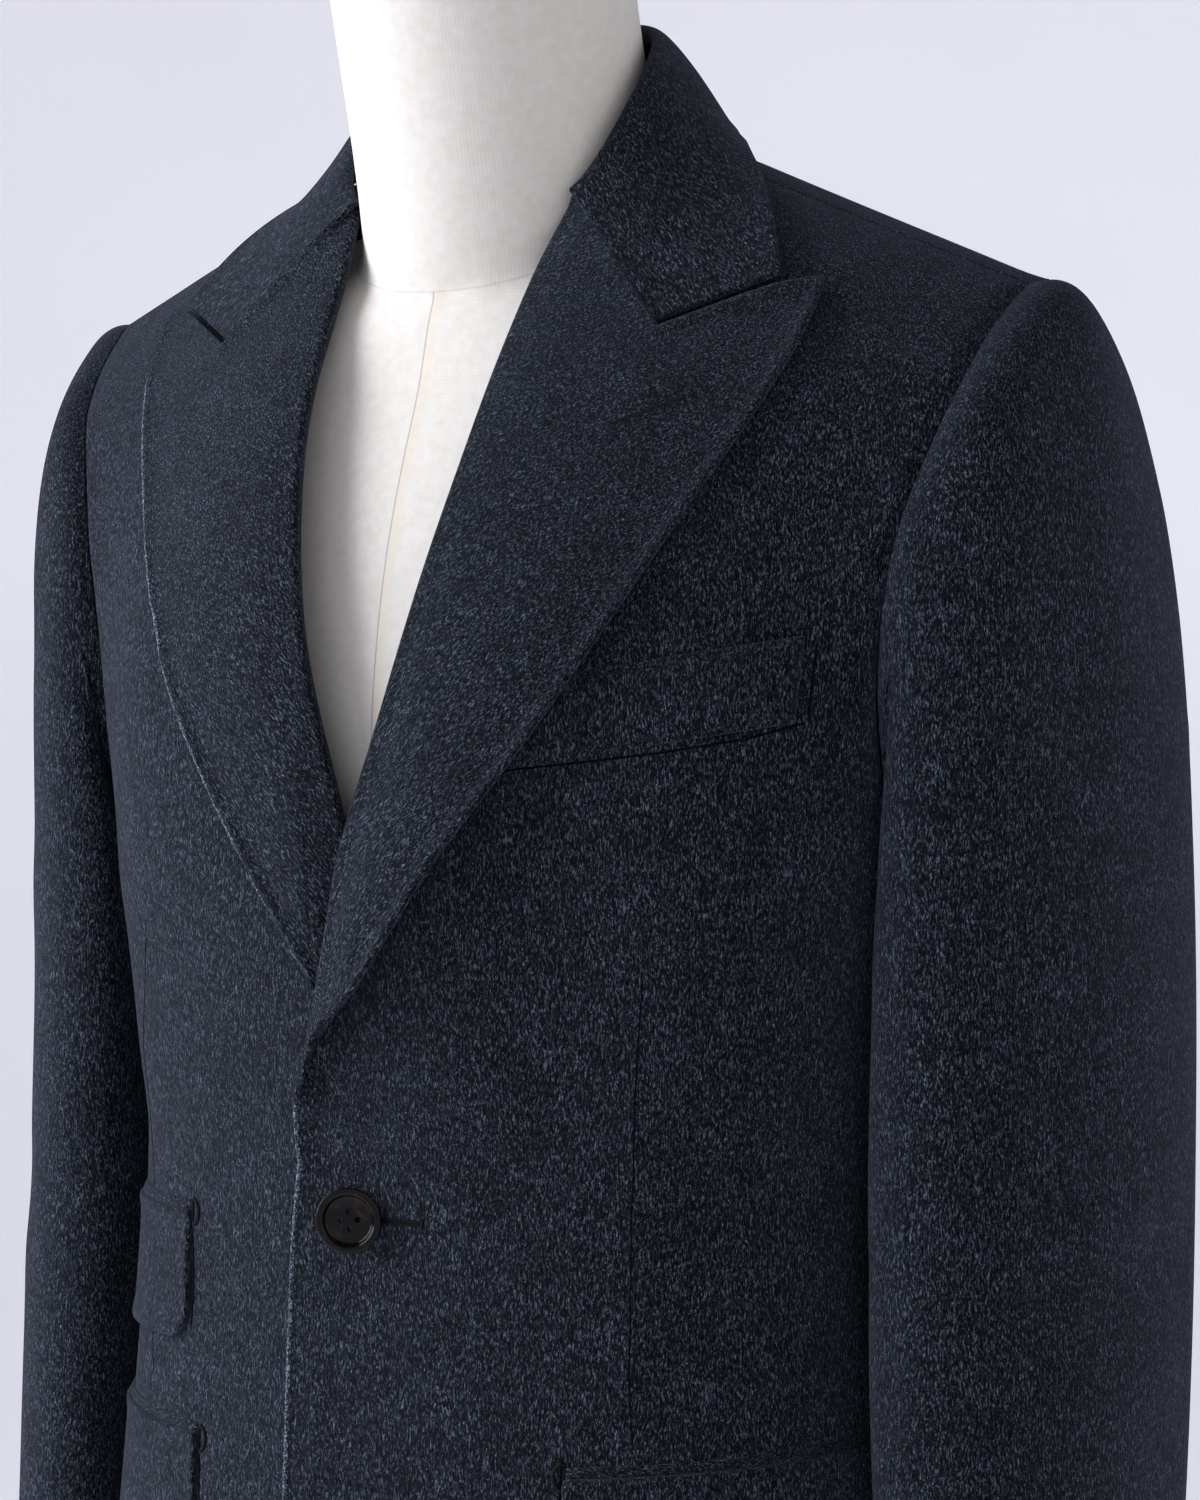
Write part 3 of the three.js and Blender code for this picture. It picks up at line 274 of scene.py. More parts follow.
def brushed_steel():
    """Ground and lacquered steel: grey, with fine marks of the belt."""
    made, tree, shader = new_material("brushed_steel")
    round_stand = {"Vector": object_place(tree), "Scale": (60, 60, 1400)}
    belt = add_node(tree, "ShaderNodeMapping", round_stand).outputs["Vector"]
    marks = noise(tree, belt, 1.0, 3.0)
    tree.links.new(map_range(tree, marks, (0.0, 1.0), (0.26, 0.42)), shader.inputs["Roughness"])
    join_bump(tree, shader, marks, 0.15, 0.05)
    shader.inputs["Base Color"].default_value = linear("#9a9da0")
    shader.inputs["Metallic"].default_value = 1.0
    return made


def studio_paper():
    """Seamless background paper: matt, pale and very slightly blue, with a little light of its own."""
    made, tree, shader = new_material("studio_paper")
    fibre = noise(tree, object_place(tree), 2.0, 2.0)
    tree.links.new(tones(tree, fibre, (0.3, "#e4e4e8"), (0.7, "#e7e7ea")), shader.inputs["Base Color"])
    set_sockets(shader, 1.0, 0.0, Emission_Color=linear("#e8e8f0"), Emission_Strength=0.36)
    return made


MELTON = wool_melton()
# painted shade for the cords along seams and edges
PAINTED_SEAM_SHADE = painted_seam_shade()
# painted highlight for the cords along turned edges
PAINTED_EDGE_HIGHLIGHT = painted_edge_highlight()
BLACK_TWIST = silk_twist("silk_twist_black", "#020303", "#0a0c0f")
GREY_TWIST = silk_twist("silk_twist_grey", "#07090b", "#1a1e24")
HORN = buffalo_horn()
LINEN = natural_linen()
STEEL = brushed_steel()
PAPER = studio_paper()


# ------------------------ mesh helpers
def smooth(low, high, value):
    """0 below low, 1 above high, eased between; works on arrays."""
    t = np.clip((value - low) / (high - low), 0.0, 1.0)
    return t * t * (3 - 2 * t)


def band(rise, fall, value):
    """1 between two edges and 0 outside them: eased in over rise and out over fall, each (low, high)."""
    return smooth(*rise, value) * (1 - smooth(*fall, value))


def points_of(piece):
    """The vertices of a piece as an array of rows."""
    out = np.empty(len(piece.data.vertices) * 3)
    piece.data.vertices.foreach_get("co", out)
    return out.reshape(-1, 3)


def normals_of(piece):
    """The vertices' normals of a piece as an array of rows."""
    out = np.empty(len(piece.data.vertices) * 3)
    piece.data.vertex_normals.foreach_get("vector", out)
    return out.reshape(-1, 3)


def move_points(piece, points):
    piece.data.vertices.foreach_set("co", points.ravel())
    piece.data.update()


def only(piece):
    """Makes a piece the one selected, active object, in object mode."""
    if bpy.context.mode != "OBJECT":
        bpy.ops.object.mode_set(mode="OBJECT")
    bpy.ops.object.select_all(action="DESELECT")
    piece.select_set(True)
    bpy.context.view_layer.objects.active = piece


def apply_modifier(piece, kind, **settings):
    only(piece)
    modifier = piece.modifiers.new(kind.title(), kind)
    for key, value in settings.items():
        setattr(modifier, key, value)
    bpy.ops.object.modifier_apply(modifier=modifier.name)


def new_object(name, data):
    made = bpy.data.objects.new(name, data)
    bpy.context.collection.objects.link(made)
    return made


def object_of(bm, name):
    """A new object with the mesh that was built in bm."""
    bmesh.ops.recalc_face_normals(bm, faces=bm.faces)
    mesh = bpy.data.meshes.new(name)
    bm.to_mesh(mesh)
    bm.free()
    return new_object(name, mesh)


def quads_of(node, name):
    """A copy of a CAD node with its doubles merged and its triangles paired."""
    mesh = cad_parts[node].data.copy()
    mesh.materials.clear()
    piece = new_object(name, mesh)
    only(piece)
    bpy.ops.object.mode_set(mode="EDIT")
    bpy.ops.mesh.select_all(action="SELECT")
    bpy.ops.mesh.remove_doubles(threshold=0.02 * MM)
    bpy.ops.mesh.tris_convert_to_quads(face_threshold=math.radians(60), shape_threshold=math.radians(180))
    bpy.ops.object.mode_set(mode="OBJECT")
    return piece


FOLD_LIMIT = math.cos(math.radians(62))  # a wall's rim meets its skins more sharply than this
CORNER = math.radians(25)  # an outline that turns more than this at a point has a corner there
FORM_EDGE = math.radians(55)  # the flat ends of the form's solids meet their sides more sharply than this


def keep_outer_skin(piece):
    """Deletes a wall's rim and inner skin, and marks the corners of its outline as sharp."""
    bm = bmesh.new()
    bm.from_mesh(piece.data)
    bm.normal_update()
    unseen = set(bm.faces)
    regions = []
    while unseen:
        region = [unseen.pop()]
        for face in region:
            for edge in face.edges:
                for other in edge.link_faces:
                    if other in unseen and face.normal.dot(other.normal) > FOLD_LIMIT:
                        unseen.remove(other)
                        region.append(other)
        regions.append(region)
    outer = set(max(regions, key=lambda region: sum(face.calc_area() for face in region)))
    bmesh.ops.delete(bm, geom=[face for face in bm.faces if face not in outer], context="FACES")
    crease = bm.verts.layers.float.new("crease_vert")
    for vert in bm.verts:
        rim = [edge.other_vert(vert).co - vert.co for edge in vert.link_edges if edge.is_boundary]
        if len(rim) == 2 and rim[0].angle(-rim[1]) > CORNER:
            vert[crease] = 1.0
    bm.to_mesh(piece.data)
    bm.free()


def crease_ends(piece):
    """Keeps the flat ends of the form's parts sharp when they are smoothed."""
    bm = bmesh.new()
    bm.from_mesh(piece.data)
    crease = bm.edges.layers.float.new("crease_edge")
    for edge in bm.edges:
        if edge.calc_face_angle(0) > FORM_EDGE:
            edge[crease] = 0.9
    bm.to_mesh(piece.data)
    bm.free()


def edge_distance(piece, points):
    """Distance of every point from the nearest edge of the open skin."""
    bm = bmesh.new()
    bm.from_mesh(piece.data)
    rim = [v.co.copy() for v in bm.verts if v.is_boundary]
    bm.free()
    tree = KDTree(len(rim))
    for i, place in enumerate(rim):
        tree.insert(place, i)
    tree.balance()
    return np.array([tree.find(p)[2] for p in points])


def along_path(path, a, b):
    """Share of the way along a path, and signed distance from it, of points (a, b) in its plane."""
    lengths = [math.dist(p, q) for p, q in zip(path, path[1:])]
    best = np.full(len(a), 1e9)
    share = np.zeros(len(a))
    side = np.zeros(len(a))
    run = 0.0
    for (pa, pb), (qa, qb), length in zip(path, path[1:], lengths):
        da, db = (qa - pa) / length, (qb - pb) / length
        t = np.clip((a - pa) * da + (b - pb) * db, 0, length)
        ra, rb = a - pa - t * da, b - pb - t * db
        distance = np.hypot(ra, rb)
        nearer = distance < best
        best = np.where(nearer, distance, best)
        share = np.where(nearer, (run + t) / sum(lengths), share)
        side = np.where(nearer, np.sign(ra * db - rb * da) * distance, side)
        run += length
    return share, side


class Fold(NamedTuple):
    """A soft fold along a path in the plane that a piece is looked at in, in millimetres."""

    path: list
    soft: tuple  # how far it spreads on its two sides
    height: float  # over the cloth
    fade: tuple = (0.3, 0.3)  # the shares of the path over which it comes up and dies away


def fold_height(fold, a, b):
    """Height of one soft fold over the plane (a, b), in metres."""
    path = [(p * MM, q * MM) for p, q in fold.path]
    share, side = along_path(path, a, b)
    near, far = (w * MM for w in fold.soft)
    width = np.where(side > 0, far, near)
    start, end = fold.fade
    ends = band((-0.001, start), (1 - end, 1.001), share)
    return fold.height * MM * np.exp(-((side / width) ** 2)) * ends


def set_lay(piece, across, through, along):
    """Writes how the nap lies at each point: two ways across it and the way along it, in metres."""
    layer = piece.data.attributes.new("lay", "FLOAT_VECTOR", "POINT")
    layer.data.foreach_set("vector", np.stack([across, through, along], axis=1).ravel())


# ------------------------ lay of the nap on each piece
FACING_LEAN = math.radians(52)  # from the floor up to the way of the nap on a lapel
NECK_Y = -20 * MM  # the neck's middle: its axis stands here
NECK_REACH = 95 * MM  # from that axis to the middle of the collar


def down_the_cloth(p):
    """Body, sleeves, welt and flaps: the nap lies down the coat."""
    return p.T


def down_the_facing(p):
    """Lapels: the facing is cut along the lapel's outer edge, and the nap lies with it."""
    x, z = np.abs(p[:, 0]), p[:, 2]
    rise, run = math.sin(FACING_LEAN), math.cos(FACING_LEAN)
    return x * rise - z * run, p[:, 1], x * run + z * rise


def over_the_collar(p):
    """Collar: the nap lies from the fold to the edge all round the neck."""
    y = p[:, 1] - NECK_Y
    reach = np.hypot(p[:, 0], y)
    return np.arctan2(p[:, 0], y) * NECK_REACH, (reach + p[:, 2]) * 0.7, (reach - p[:, 2]) * 0.7


def along_the_mouth(p):
    """Jets: cut across the cloth, so that the nap lies along the pocket's mouth."""
    return p[:, 2], p[:, 1], p[:, 0]


# ------------------------ folds
# Their paths are in x and z for body and lapels, and in y and z for sleeves.
ARMHOLE_FOLDS = [
    Fold([(196, 1405), (172, 1340), (160, 1262), (164, 1190)], (16, 26), -2.6),
    Fold([(150, 1230), (138, 1165), (134, 1100)], (20, 28), 1.3),
    Fold([(120, 1330), (112, 1250), (100, 1180)], (34, 42), 1.5),
]
WAIST_FOLDS = [
    Fold([(30, 1120), (75, 1098), (130, 1102)], (12, 16), -0.7),
    Fold([(24, 1052), (66, 1040), (112, 1046)], (10, 15), -0.6),
    Fold([(170, 1120), (140, 1085), (122, 1062)], (9, 14), -0.8),
]
SKIRT_FOLDS = [
    Fold([(118, 930), (128, 760), (140, 470)], (24, 34), 4.2, (0.6, 0.01)),
    Fold([(64, 905), (68, 700), (76, 470)], (22, 26), -3.2, (0.7, 0.01)),
    Fold([(166, 900), (182, 720), (196, 470)], (18, 22), -3.8, (0.6, 0.01)),
    Fold([(10, 840), (14, 660), (16, 470)], (20, 30), 1.8, (0.6, 0.01)),
]
BACK_FOLDS = [
    Fold([(186, 1395), (166, 1330), (158, 1250), (166, 1185)], (16, 28), -2.8),
    Fold([(118, 1370), (108, 1290), (112, 1200)], (30, 38), 2.2),
    Fold([(30, 1330), (42, 1240), (60, 1160)], (24, 30), -1.2),
    Fold([(20, 1092), (72, 1084), (132, 1098)], (11, 16), -1.1),
    Fold([(34, 1058), (84, 1064), (140, 1054)], (12, 18), 0.9),
    Fold([(52, 960), (58, 740), (66, 470)], (26, 32), 3.6, (0.6, 0.01)),
    Fold([(108, 920), (120, 720), (132, 470)], (22, 30), -3.8, (0.6, 0.01)),
    Fold([(160, 930), (174, 740), (188, 470)], (20, 24), 3.2, (0.6, 0.01)),
]
TOP_SLEEVE_FOLDS = [
    Fold([(-52, 1330), (-20, 1262), (24, 1214)], (13, 22), -1.3),
    Fold([(-58, 1215), (-18, 1170), (30, 1142)], (16, 24), 1.2),
    Fold([(-66, 1075), (-24, 1062), (34, 1082)], (12, 18), -1.9),
    Fold([(-62, 1040), (-14, 1020), (42, 1034)], (14, 20), 1.5),
    Fold([(40, 1120), (18, 1010), (6, 905)], (18, 28), -1.5),
    Fold([(-54, 962), (-18, 948), (22, 958)], (11, 17), -1.2),
    Fold([(-68, 880), (-30, 862), (14, 866)], (12, 16), 0.9),
]
UNDER_SLEEVE_FOLDS = [
    Fold([(-40, 1120), (0, 1100), (36, 1108)], (10, 15), -1.4),
    Fold([(-46, 1060), (-6, 1046), (34, 1060)], (11, 16), -1.8),
    Fold([(-44, 1012), (-4, 998), (30, 1008)], (11, 15), 1.2),
]
LAPEL_FOLDS = [
    Fold([(60, 1385), (92, 1320), (70, 1240)], (28, 34), 0.9),
]
DARTS = {
    "left": [(116.5, 1178), (113, 1140), (110, 1090), (110.2, 1031), (112, 1003)],
    "right": [(124, 1180), (129, 1155), (135, 1130), (133, 1090), (128, 1040), (124, 1000)],
}


WOBBLE = 0.16 * MM


def wobble(p):
    """The small unevenness of pressed cloth, in metres: slow waves that never quite line up."""
    x, y, z = (p / MM).T
    waves = np.sin(x / 23 + z / 61) * np.sin(z / 37 - y / 29) + 0.7 * np.sin(y / 17 + z / 83 + x / 41)
    return WOBBLE * waves


RIM_STEPS = 6  # faces across the half round of a cut edge


def give_thickness(piece, thickness, rounding):
    """Makes cloth of an open skin: an inner skin behind it, and between them a rim that rounds outwards.

    thickness is a number or one for each point; rounding is how far the rim stands out, in millimetres.
    """
    points, normals = points_of(piece), normals_of(piece)
    count = len(points)
    quads = np.empty(len(piece.data.loops), dtype=np.int64)
    piece.data.loops.foreach_get("vertex_index", quads)
    quads = quads.reshape(-1, 4)
    halves = np.stack([quads, np.roll(quads, -1, axis=1)], axis=-1).reshape(-1, 2)
    keys = halves.min(axis=1) * count + halves.max(axis=1)
    _, first, uses = np.unique(keys, return_index=True, return_counts=True)
    border = halves[first[uses == 1]]
    along = points[border[:, 1]] - points[border[:, 0]]
    outward = np.cross(along / np.linalg.norm(along, axis=1)[:, None], normals[border[:, 0]])
    rim = np.unique(border)
    place = np.full(count, -1)
    place[rim] = np.arange(len(rim))
    away = np.zeros((len(rim), 3))
    for end in (0, 1):
        np.add.at(away, place[border[:, end]], outward)
    away -= normals[rim] * np.sum(away * normals[rim], axis=1)[:, None]
    away /= np.linalg.norm(away, axis=1)[:, None]
    depth = np.broadcast_to(thickness * MM, (count,))[:, None]
    layers = [points, points - normals * depth]
    for angle in np.linspace(0, math.pi, RIM_STEPS + 1)[1:-1]:
        height = depth[rim] / 2 * (math.cos(angle) - 1)
        out = rounding * MM * math.sin(angle) * depth[rim] / depth.max()
        layers.append(points[rim] + normals[rim] * height + away * out)
    between = [2 * count + i * len(rim) + np.arange(len(rim)) for i in range(RIM_STEPS - 1)]
    rows = [rim, *between, rim + count]
    faces = [quads, quads[:, ::-1] + count]
    a, b = place[border[:, 0]], place[border[:, 1]]
    for upper, lower in zip(rows, rows[1:]):
        faces.append(np.stack([upper[b], upper[a], lower[a], lower[b]], axis=1))
    points, faces = np.concatenate(layers), np.concatenate(faces)
    mesh = piece.data
    mesh.clear_geometry()
    mesh.vertices.add(len(points))
    mesh.vertices.foreach_set("co", points.ravel())
    mesh.loops.add(faces.size)
    mesh.loops.foreach_set("vertex_index", faces.ravel().astype(np.int32))
    mesh.polygons.add(len(faces))
    mesh.polygons.foreach_set("loop_start", np.arange(0, faces.size, 4, dtype=np.int32))
    mesh.update(calc_edges=True)
    mesh.validate()


THIN = 0.25  # the share of its thickness that cloth keeps where it is drawn in
FOOT_Z, FULL_Z = 1126 * MM, 1176 * MM  # a lapel is thin at its foot and full from the second height up


def foot_share(p, normals=None):
    """How full a lapel is at each point; its normals make no difference."""
    return THIN + (1 - THIN) * smooth(FOOT_Z, FULL_Z, p[:, 2])


def side_of(p):
    """1 for a piece on the wearer's left and -1 for one on the right, from its highest point."""
    return np.sign(p[p[:, 2].argmax(), 0])


def draw_in_foot(p):
    """Draws the foot of a lapel in to the front edge, where its roll runs out."""
    side = side_of(p)
    ends = []
    for height in (FOOT_Z, FULL_Z):
        level = p[np.abs(p[:, 2] - height) < 5 * MM]
        ends.append(level[(level[:, 0] * side).argmin()])
    share = ((p[:, 2] - ends[0][2]) / (ends[1][2] - ends[0][2]))[:, None]
    roll = ends[0] + (ends[1] - ends[0]) * share
    drawn = p.copy()
    drawn[:, :2] = roll[:, :2] + (p - roll)[:, :2] * foot_share(p)[:, None]
    return np.where(share < 1, drawn, p)


FRONT_EDGE = 21 * MM  # the left front's edge is this far past the centre front
KEEL = 6.5 * MM  # how far the fronts stand forward by the top button
KEEL_SPREAD = 42 * MM  # that dies away over this distance on either side of the edge
KEEL_LEFT_OVER = 0.45  # the share of it that is left away from the top button
HELD = (880 * MM, 1010 * MM), (1120 * MM, 1230 * MM)  # the top button holds the fronts between these heights
DRAWN_LEFT = 0.66  # how far the fronts go to the wearer's left for each millimetre forward


def keel(p):
    """How far the buttoned fronts stand forward: most along the left front's edge, by the top button."""
    x, z = p[..., 0], p[..., 2]
    held = KEEL_LEFT_OVER + (1 - KEEL_LEFT_OVER) * band(*HELD, z)
    return KEEL * np.exp(-np.abs(x + FRONT_EDGE) / KEEL_SPREAD) * held


def draw_forward(p):
    """Moves points forward with the buttoned fronts, which draws them towards the wearer's left too."""
    moved = p.copy()
    moved[:, 1] -= keel(p)
    moved[:, 0] += DRAWN_LEFT * keel(p)
    return moved


ROLL_LEVELS = 40  # heights at which the roll's crest is looked for
ROLL_SINK = 0.4  # how far the upper layer comes down: a share of the way to its crest
ROLL_REACH = 1 * MM, 22 * MM  # from the crest: all of that sink up to the first, none past the second


def soften_roll(p):
    """Lets the upper layer of a lapel come down gently to its roll."""
    side = side_of(p)
    x, y, z = p[:, 0] * side, p[:, 1], p[:, 2]
    levels = np.linspace(z.min(), z.max(), ROLL_LEVELS)
    nearest = np.abs(z[:, None] - levels[None, :]).argmin(axis=1)
    crest = [np.where(nearest == i, x, math.inf).argmin() for i in range(ROLL_LEVELS)]
    height = (z - z.min()) / (z.max() - z.min())
    crest_x, crest_y = (np.polyval(np.polyfit(height[crest], way[crest], 6), height) for way in (x, y))
    sink = ROLL_SINK * (1 - smooth(*ROLL_REACH, x - crest_x)) * smooth(FOOT_Z, FULL_Z, z)
    moved = p.copy()
    moved[:, 1] += np.maximum(crest_y - y, 0) * sink
    return moved


ROLL_SLOPE = 0.3  # the roll runs outwards by this much for each millimetre up
STANDING = (FOOT_Z, 1165 * MM), (1210 * MM, 1350 * MM)  # the left lapel stands off between these heights
STAND_SLOPE = 0.13  # by this much for each millimetre from its roll
STAND_MOST = 5.5 * MM  # and by no more than this


def stand_off(p):
    """Stands the left lapel off the chest above its foot, more the farther it is from the roll."""
    side = side_of(p)
    if side < 0:
        return p
    x, z = p[:, 0], p[:, 2]
    roll_x = (z - FOOT_Z) * ROLL_SLOPE - FRONT_EDGE
    moved = p.copy()
    moved[:, 1] -= np.clip(STAND_SLOPE * (x - roll_x), 0, STAND_MOST) * band(*STANDING, z)
    return moved


def shape_lapel(p):
    return draw_forward(stand_off(draw_in_foot(soften_roll(p))))


EDGE_SWELL = 1.8  # a front's open edge swells by this share of what its seams sink
SEAMS_X = 30 * MM, 60 * MM  # from the centre front: the open edge up to the first, seams from the second


def free_edge(p):
    """How deep a front is pressed: it sinks towards its seams, and its open edge swells instead."""
    return (1 + EDGE_SWELL) * smooth(*SEAMS_X, np.abs(p[:, 0])) - EDGE_SWELL


GAP_HEIGHTS = (1100 * MM, 1122 * MM), (1132 * MM, 1160 * MM)  # a front keeps clear of the roll between these
GAP = 5.4 * MM
GAP_REACH = 5 * MM, 32 * MM  # from a front's edge: all of the move up to the first, none past the second
GAP_FOOT_X, GAP_FOOT_Z, GAP_SLOPE = -21.5 * MM, 1116 * MM, 0.205  # where its edge starts, and its slope


def fill_to_roll(p):
    """Brings a front's edge out to the roll beside the foot of the lapel, where the solid keeps clear."""
    side = side_of(p)
    x, z = p[:, 0] * side, p[:, 2]
    inside = x - (GAP_FOOT_X + (z - GAP_FOOT_Z) * GAP_SLOPE)
    moved = p.copy()
    moved[:, 0] -= side * GAP * band(*GAP_HEIGHTS, z) * (1 - smooth(*GAP_REACH, inside))
    return moved


def shape_front(p):
    return draw_forward(fill_to_roll(p))


FACES_NECK = -0.5, 0.1  # how far a point faces outwards: the stand below the first, the fall from the second


def stand_share(p, normals):
    """How full the collar is: thin where it stands inside its fold and faces the neck."""
    out = np.stack([p[:, 0], p[:, 1] - NECK_Y], axis=1)
    facing = np.sum(out * normals[:, :2], axis=1) / np.linalg.norm(out, axis=1)
    return THIN + (1 - THIN) * smooth(*FACES_NECK, facing)


HUG_HEIGHTS = (1448 * MM, 1466 * MM), (1488 * MM, 1512 * MM)  # the collar keeps clear of the neck here
HUG = 3.0 * MM
HUG_REACH = 62 * MM, 100 * MM  # from the middle: all of the move up to the first, none past the second


def hug_neck(p):
    """Lays the collar's fold against the neck on the wearer's right, where the solid keeps clear of it."""
    x, z = p[:, 0], p[:, 2]
    moved = p.copy()
    moved[:, 0] += HUG * band(*HUG_HEIGHTS, z) * (1 - smooth(*HUG_REACH, np.abs(x))) * (x < 0)
    return moved


def even_out(piece, rounds):
    """Evens a skin out: every point goes halfway to the middle of its neighbours, on the rim along it."""
    bm = bmesh.new()
    bm.from_mesh(piece.data)
    crease = bm.verts.layers.float["crease_vert"]
    for _ in range(rounds):
        middles = {}
        for vert in bm.verts:
            inner = not vert.is_boundary
            beside = [edge.other_vert(vert).co for edge in vert.link_edges if inner or edge.is_boundary]
            if not vert[crease]:
                middles[vert] = sum(beside, Vector()) / len(beside)
        for vert, middle in middles.items():
            vert.co = vert.co.lerp(middle, 0.5)
    bm.to_mesh(piece.data)
    bm.free()


COAT = {}  # the finished pieces by their node's name
HELD_BY_SEAM = 12 * MM  # folds and wobble die away over this distance from a seam or an edge


def tailor(
    node,
    lay,
    folds=(),
    plane=(0, 2),
    shape=None,
    full=None,
    firm=None,
    thickness=2.0,
    pressed=(0.7, 3.0),
    edge=0.8,
    even=0,
    levels=3,
):
    """Makes a piece of the coat from its CAD wall; sizes are in millimetres.

    plane names the two axes that the folds' paths are drawn on. shape moves the smoothed skin first, and
    full gives its share of the thickness at each point. pressed is how far, and over what width, the cloth
    sinks towards its seams and edges (below 0, how far it swells), and firm gives the share of that at each
    point. edge is how far its rim rounds out, even how often the skin is evened out, and levels how often it
    is subdivided.
    """
    piece = quads_of(node, node + "_cloth")
    keep_outer_skin(piece)
    even_out(piece, even)
    apply_modifier(piece, "SUBSURF", levels=levels, render_levels=levels)
    if shape:
        move_points(piece, shape(points_of(piece)))
    p = points_of(piece)
    lift = wobble(p)
    across, up = p[:, plane[0]], p[:, plane[1]]
    if plane[0] == 0:  # both sides of the coat have the folds of the left
        across = np.abs(across)
    for fold in folds:
        lift = lift + fold_height(fold, across, up)
    distance = edge_distance(piece, p)
    depth, width = pressed
    depth = depth * (firm(p) if firm else 1.0)
    lift = lift * smooth(0, HELD_BY_SEAM, distance)
    lift = lift - depth * MM * np.exp(-((distance / (width * MM)) ** 2))
    move_points(piece, p + normals_of(piece) * lift[:, None])
    give_thickness(piece, thickness * (full(p, normals_of(piece)) if full else 1.0), edge)
    set_lay(piece, *lay(points_of(piece)))
    finish_piece(piece, MELTON, "melton", node)
    COAT[node] = piece


def dress(piece, material, angle):
    """Gives a piece its one material, and smooth shading up to an angle in degrees."""
    only(piece)
    bpy.ops.object.shade_smooth_by_angle(angle=math.radians(angle))
    piece.data.materials.clear()
    piece.data.materials.append(material)


def finish_piece(piece, material, slot, *nodes, angle=60):
    """Material and body of a finished piece, and the nodes that it stands for; its slot is not used."""
    dress(piece, material, angle)
    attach(piece, "root")
    if nodes:
        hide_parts(*nodes)


SIDES = ("left", "right")
for side in SIDES:
    dart_puff = Fold(DARTS[side], (7, 7), 0.5, (0.4, 0.1))
    tailor(
        "front_" + side,
        down_the_cloth,
        [*ARMHOLE_FOLDS, *WAIST_FOLDS, *SKIRT_FOLDS, dart_puff],
        shape=shape_front,
        firm=free_edge,
        thickness=2.4,
        pressed=(1.0, 3.6),
        edge=1.6,
    )
    tailor("back_" + side, down_the_cloth, BACK_FOLDS, levels=2)
    tailor(
        "lapel_" + side,
        down_the_facing,
        LAPEL_FOLDS,
        shape=shape_lapel,
        full=foot_share,
        thickness=2.8,
        pressed=(-0.9, 3.0),
        edge=1.8,
    )
    for kind, folds in (("sleeve_top_", TOP_SLEEVE_FOLDS), ("sleeve_under_", UNDER_SLEEVE_FOLDS)):
        tailor(kind + side, down_the_cloth, folds, plane=(1, 2))
tailor(
    "collar",
    over_the_collar,
    shape=hug_neck,
    full=stand_share,
    thickness=2.8,
    pressed=(-0.5, 2.8),
    edge=1.2,
    even=2,
)
tailor("breast_welt_left", down_the_cloth, thickness=2.4, pressed=(1.1, 2.2), edge=1.0)
for pocket in ("hip_left", "hip_right", "ticket_right"):
    tailor(pocket + "_jet", along_the_mouth, thickness=1.8, pressed=(1.1, 1.8))
    tailor(pocket + "_flap", down_the_cloth, thickness=3.0, pressed=(-0.7, 3.4), edge=1.6)

# ------------------------ dress form and stand
form = quads_of("form_torso", "dress_form_linen")
neck = quads_of("form_neck", "form_neck_linen")
for part in (form, neck):
    crease_ends(part)
    apply_modifier(part, "SUBSURF", levels=2, render_levels=2)
only(form)
neck.select_set(True)
bpy.ops.object.join()
# One skin over the torso and the neck, drawn smooth where they meet.
apply_modifier(form, "REMESH", mode="VOXEL", voxel_size=4 * MM)
apply_modifier(form, "SMOOTH", factor=0.5, iterations=14)
finish_piece(form, LINEN, "linen", "form_torso", "form_neck")
for node in ("stand_pole", "stand_base"):
    dress(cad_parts[node], STEEL, 35)


# ------------------------ buttons
def edit_faces(piece, chosen):
    """Goes into edit mode on a piece with only the chosen faces selected."""
    only(piece)
    bpy.ops.object.mode_set(mode="EDIT")
    bpy.ops.mesh.select_mode(type="FACE")
    bpy.ops.mesh.select_all(action="DESELECT")
    bpy.ops.object.mode_set(mode="OBJECT")
    for face in piece.data.polygons:
        face.select = chosen(face)
    bpy.ops.object.mode_set(mode="EDIT")


BUTTON_WIDER = 1.03  # than its solid
BUTTON_BACK = 0.74  # the width of its back face, as a share of the whole
# The front face from the edge inwards, raised rim, wall of the well and its floor: how far in, as a share of
# the radius, and how much deeper, as a share of the thickness.
BUTTON_FACE = ((0.07, -0.14), (0.14, 0.0), (0.11, 0.42), (0.28, 0.1))
HOLE_ANGLES = (4, 94, 184, 274)  # degrees
HOLE_RADIUS, HOLE_REACH = 1.1 * MM, 3.2 * MM  # and how far from the middle
BUTTON_TIP = {1: 24, 2: 12, 3: 8}  # degrees that each button tips on its shank
SHANK_SLACK = 1.6 * MM  # how far a button stands off the cloth past the keel


def cylinder(middle, radius, depth, sides):
    """A cylinder that stands on the chest: its axis is y."""
    bpy.ops.object.select_all(action="DESELECT")
    bpy.ops.mesh.primitive_cylinder_add(
        vertices=sides, radius=radius, depth=depth, location=middle, rotation=(math.pi / 2, 0, 0)
    )
    return bpy.context.object


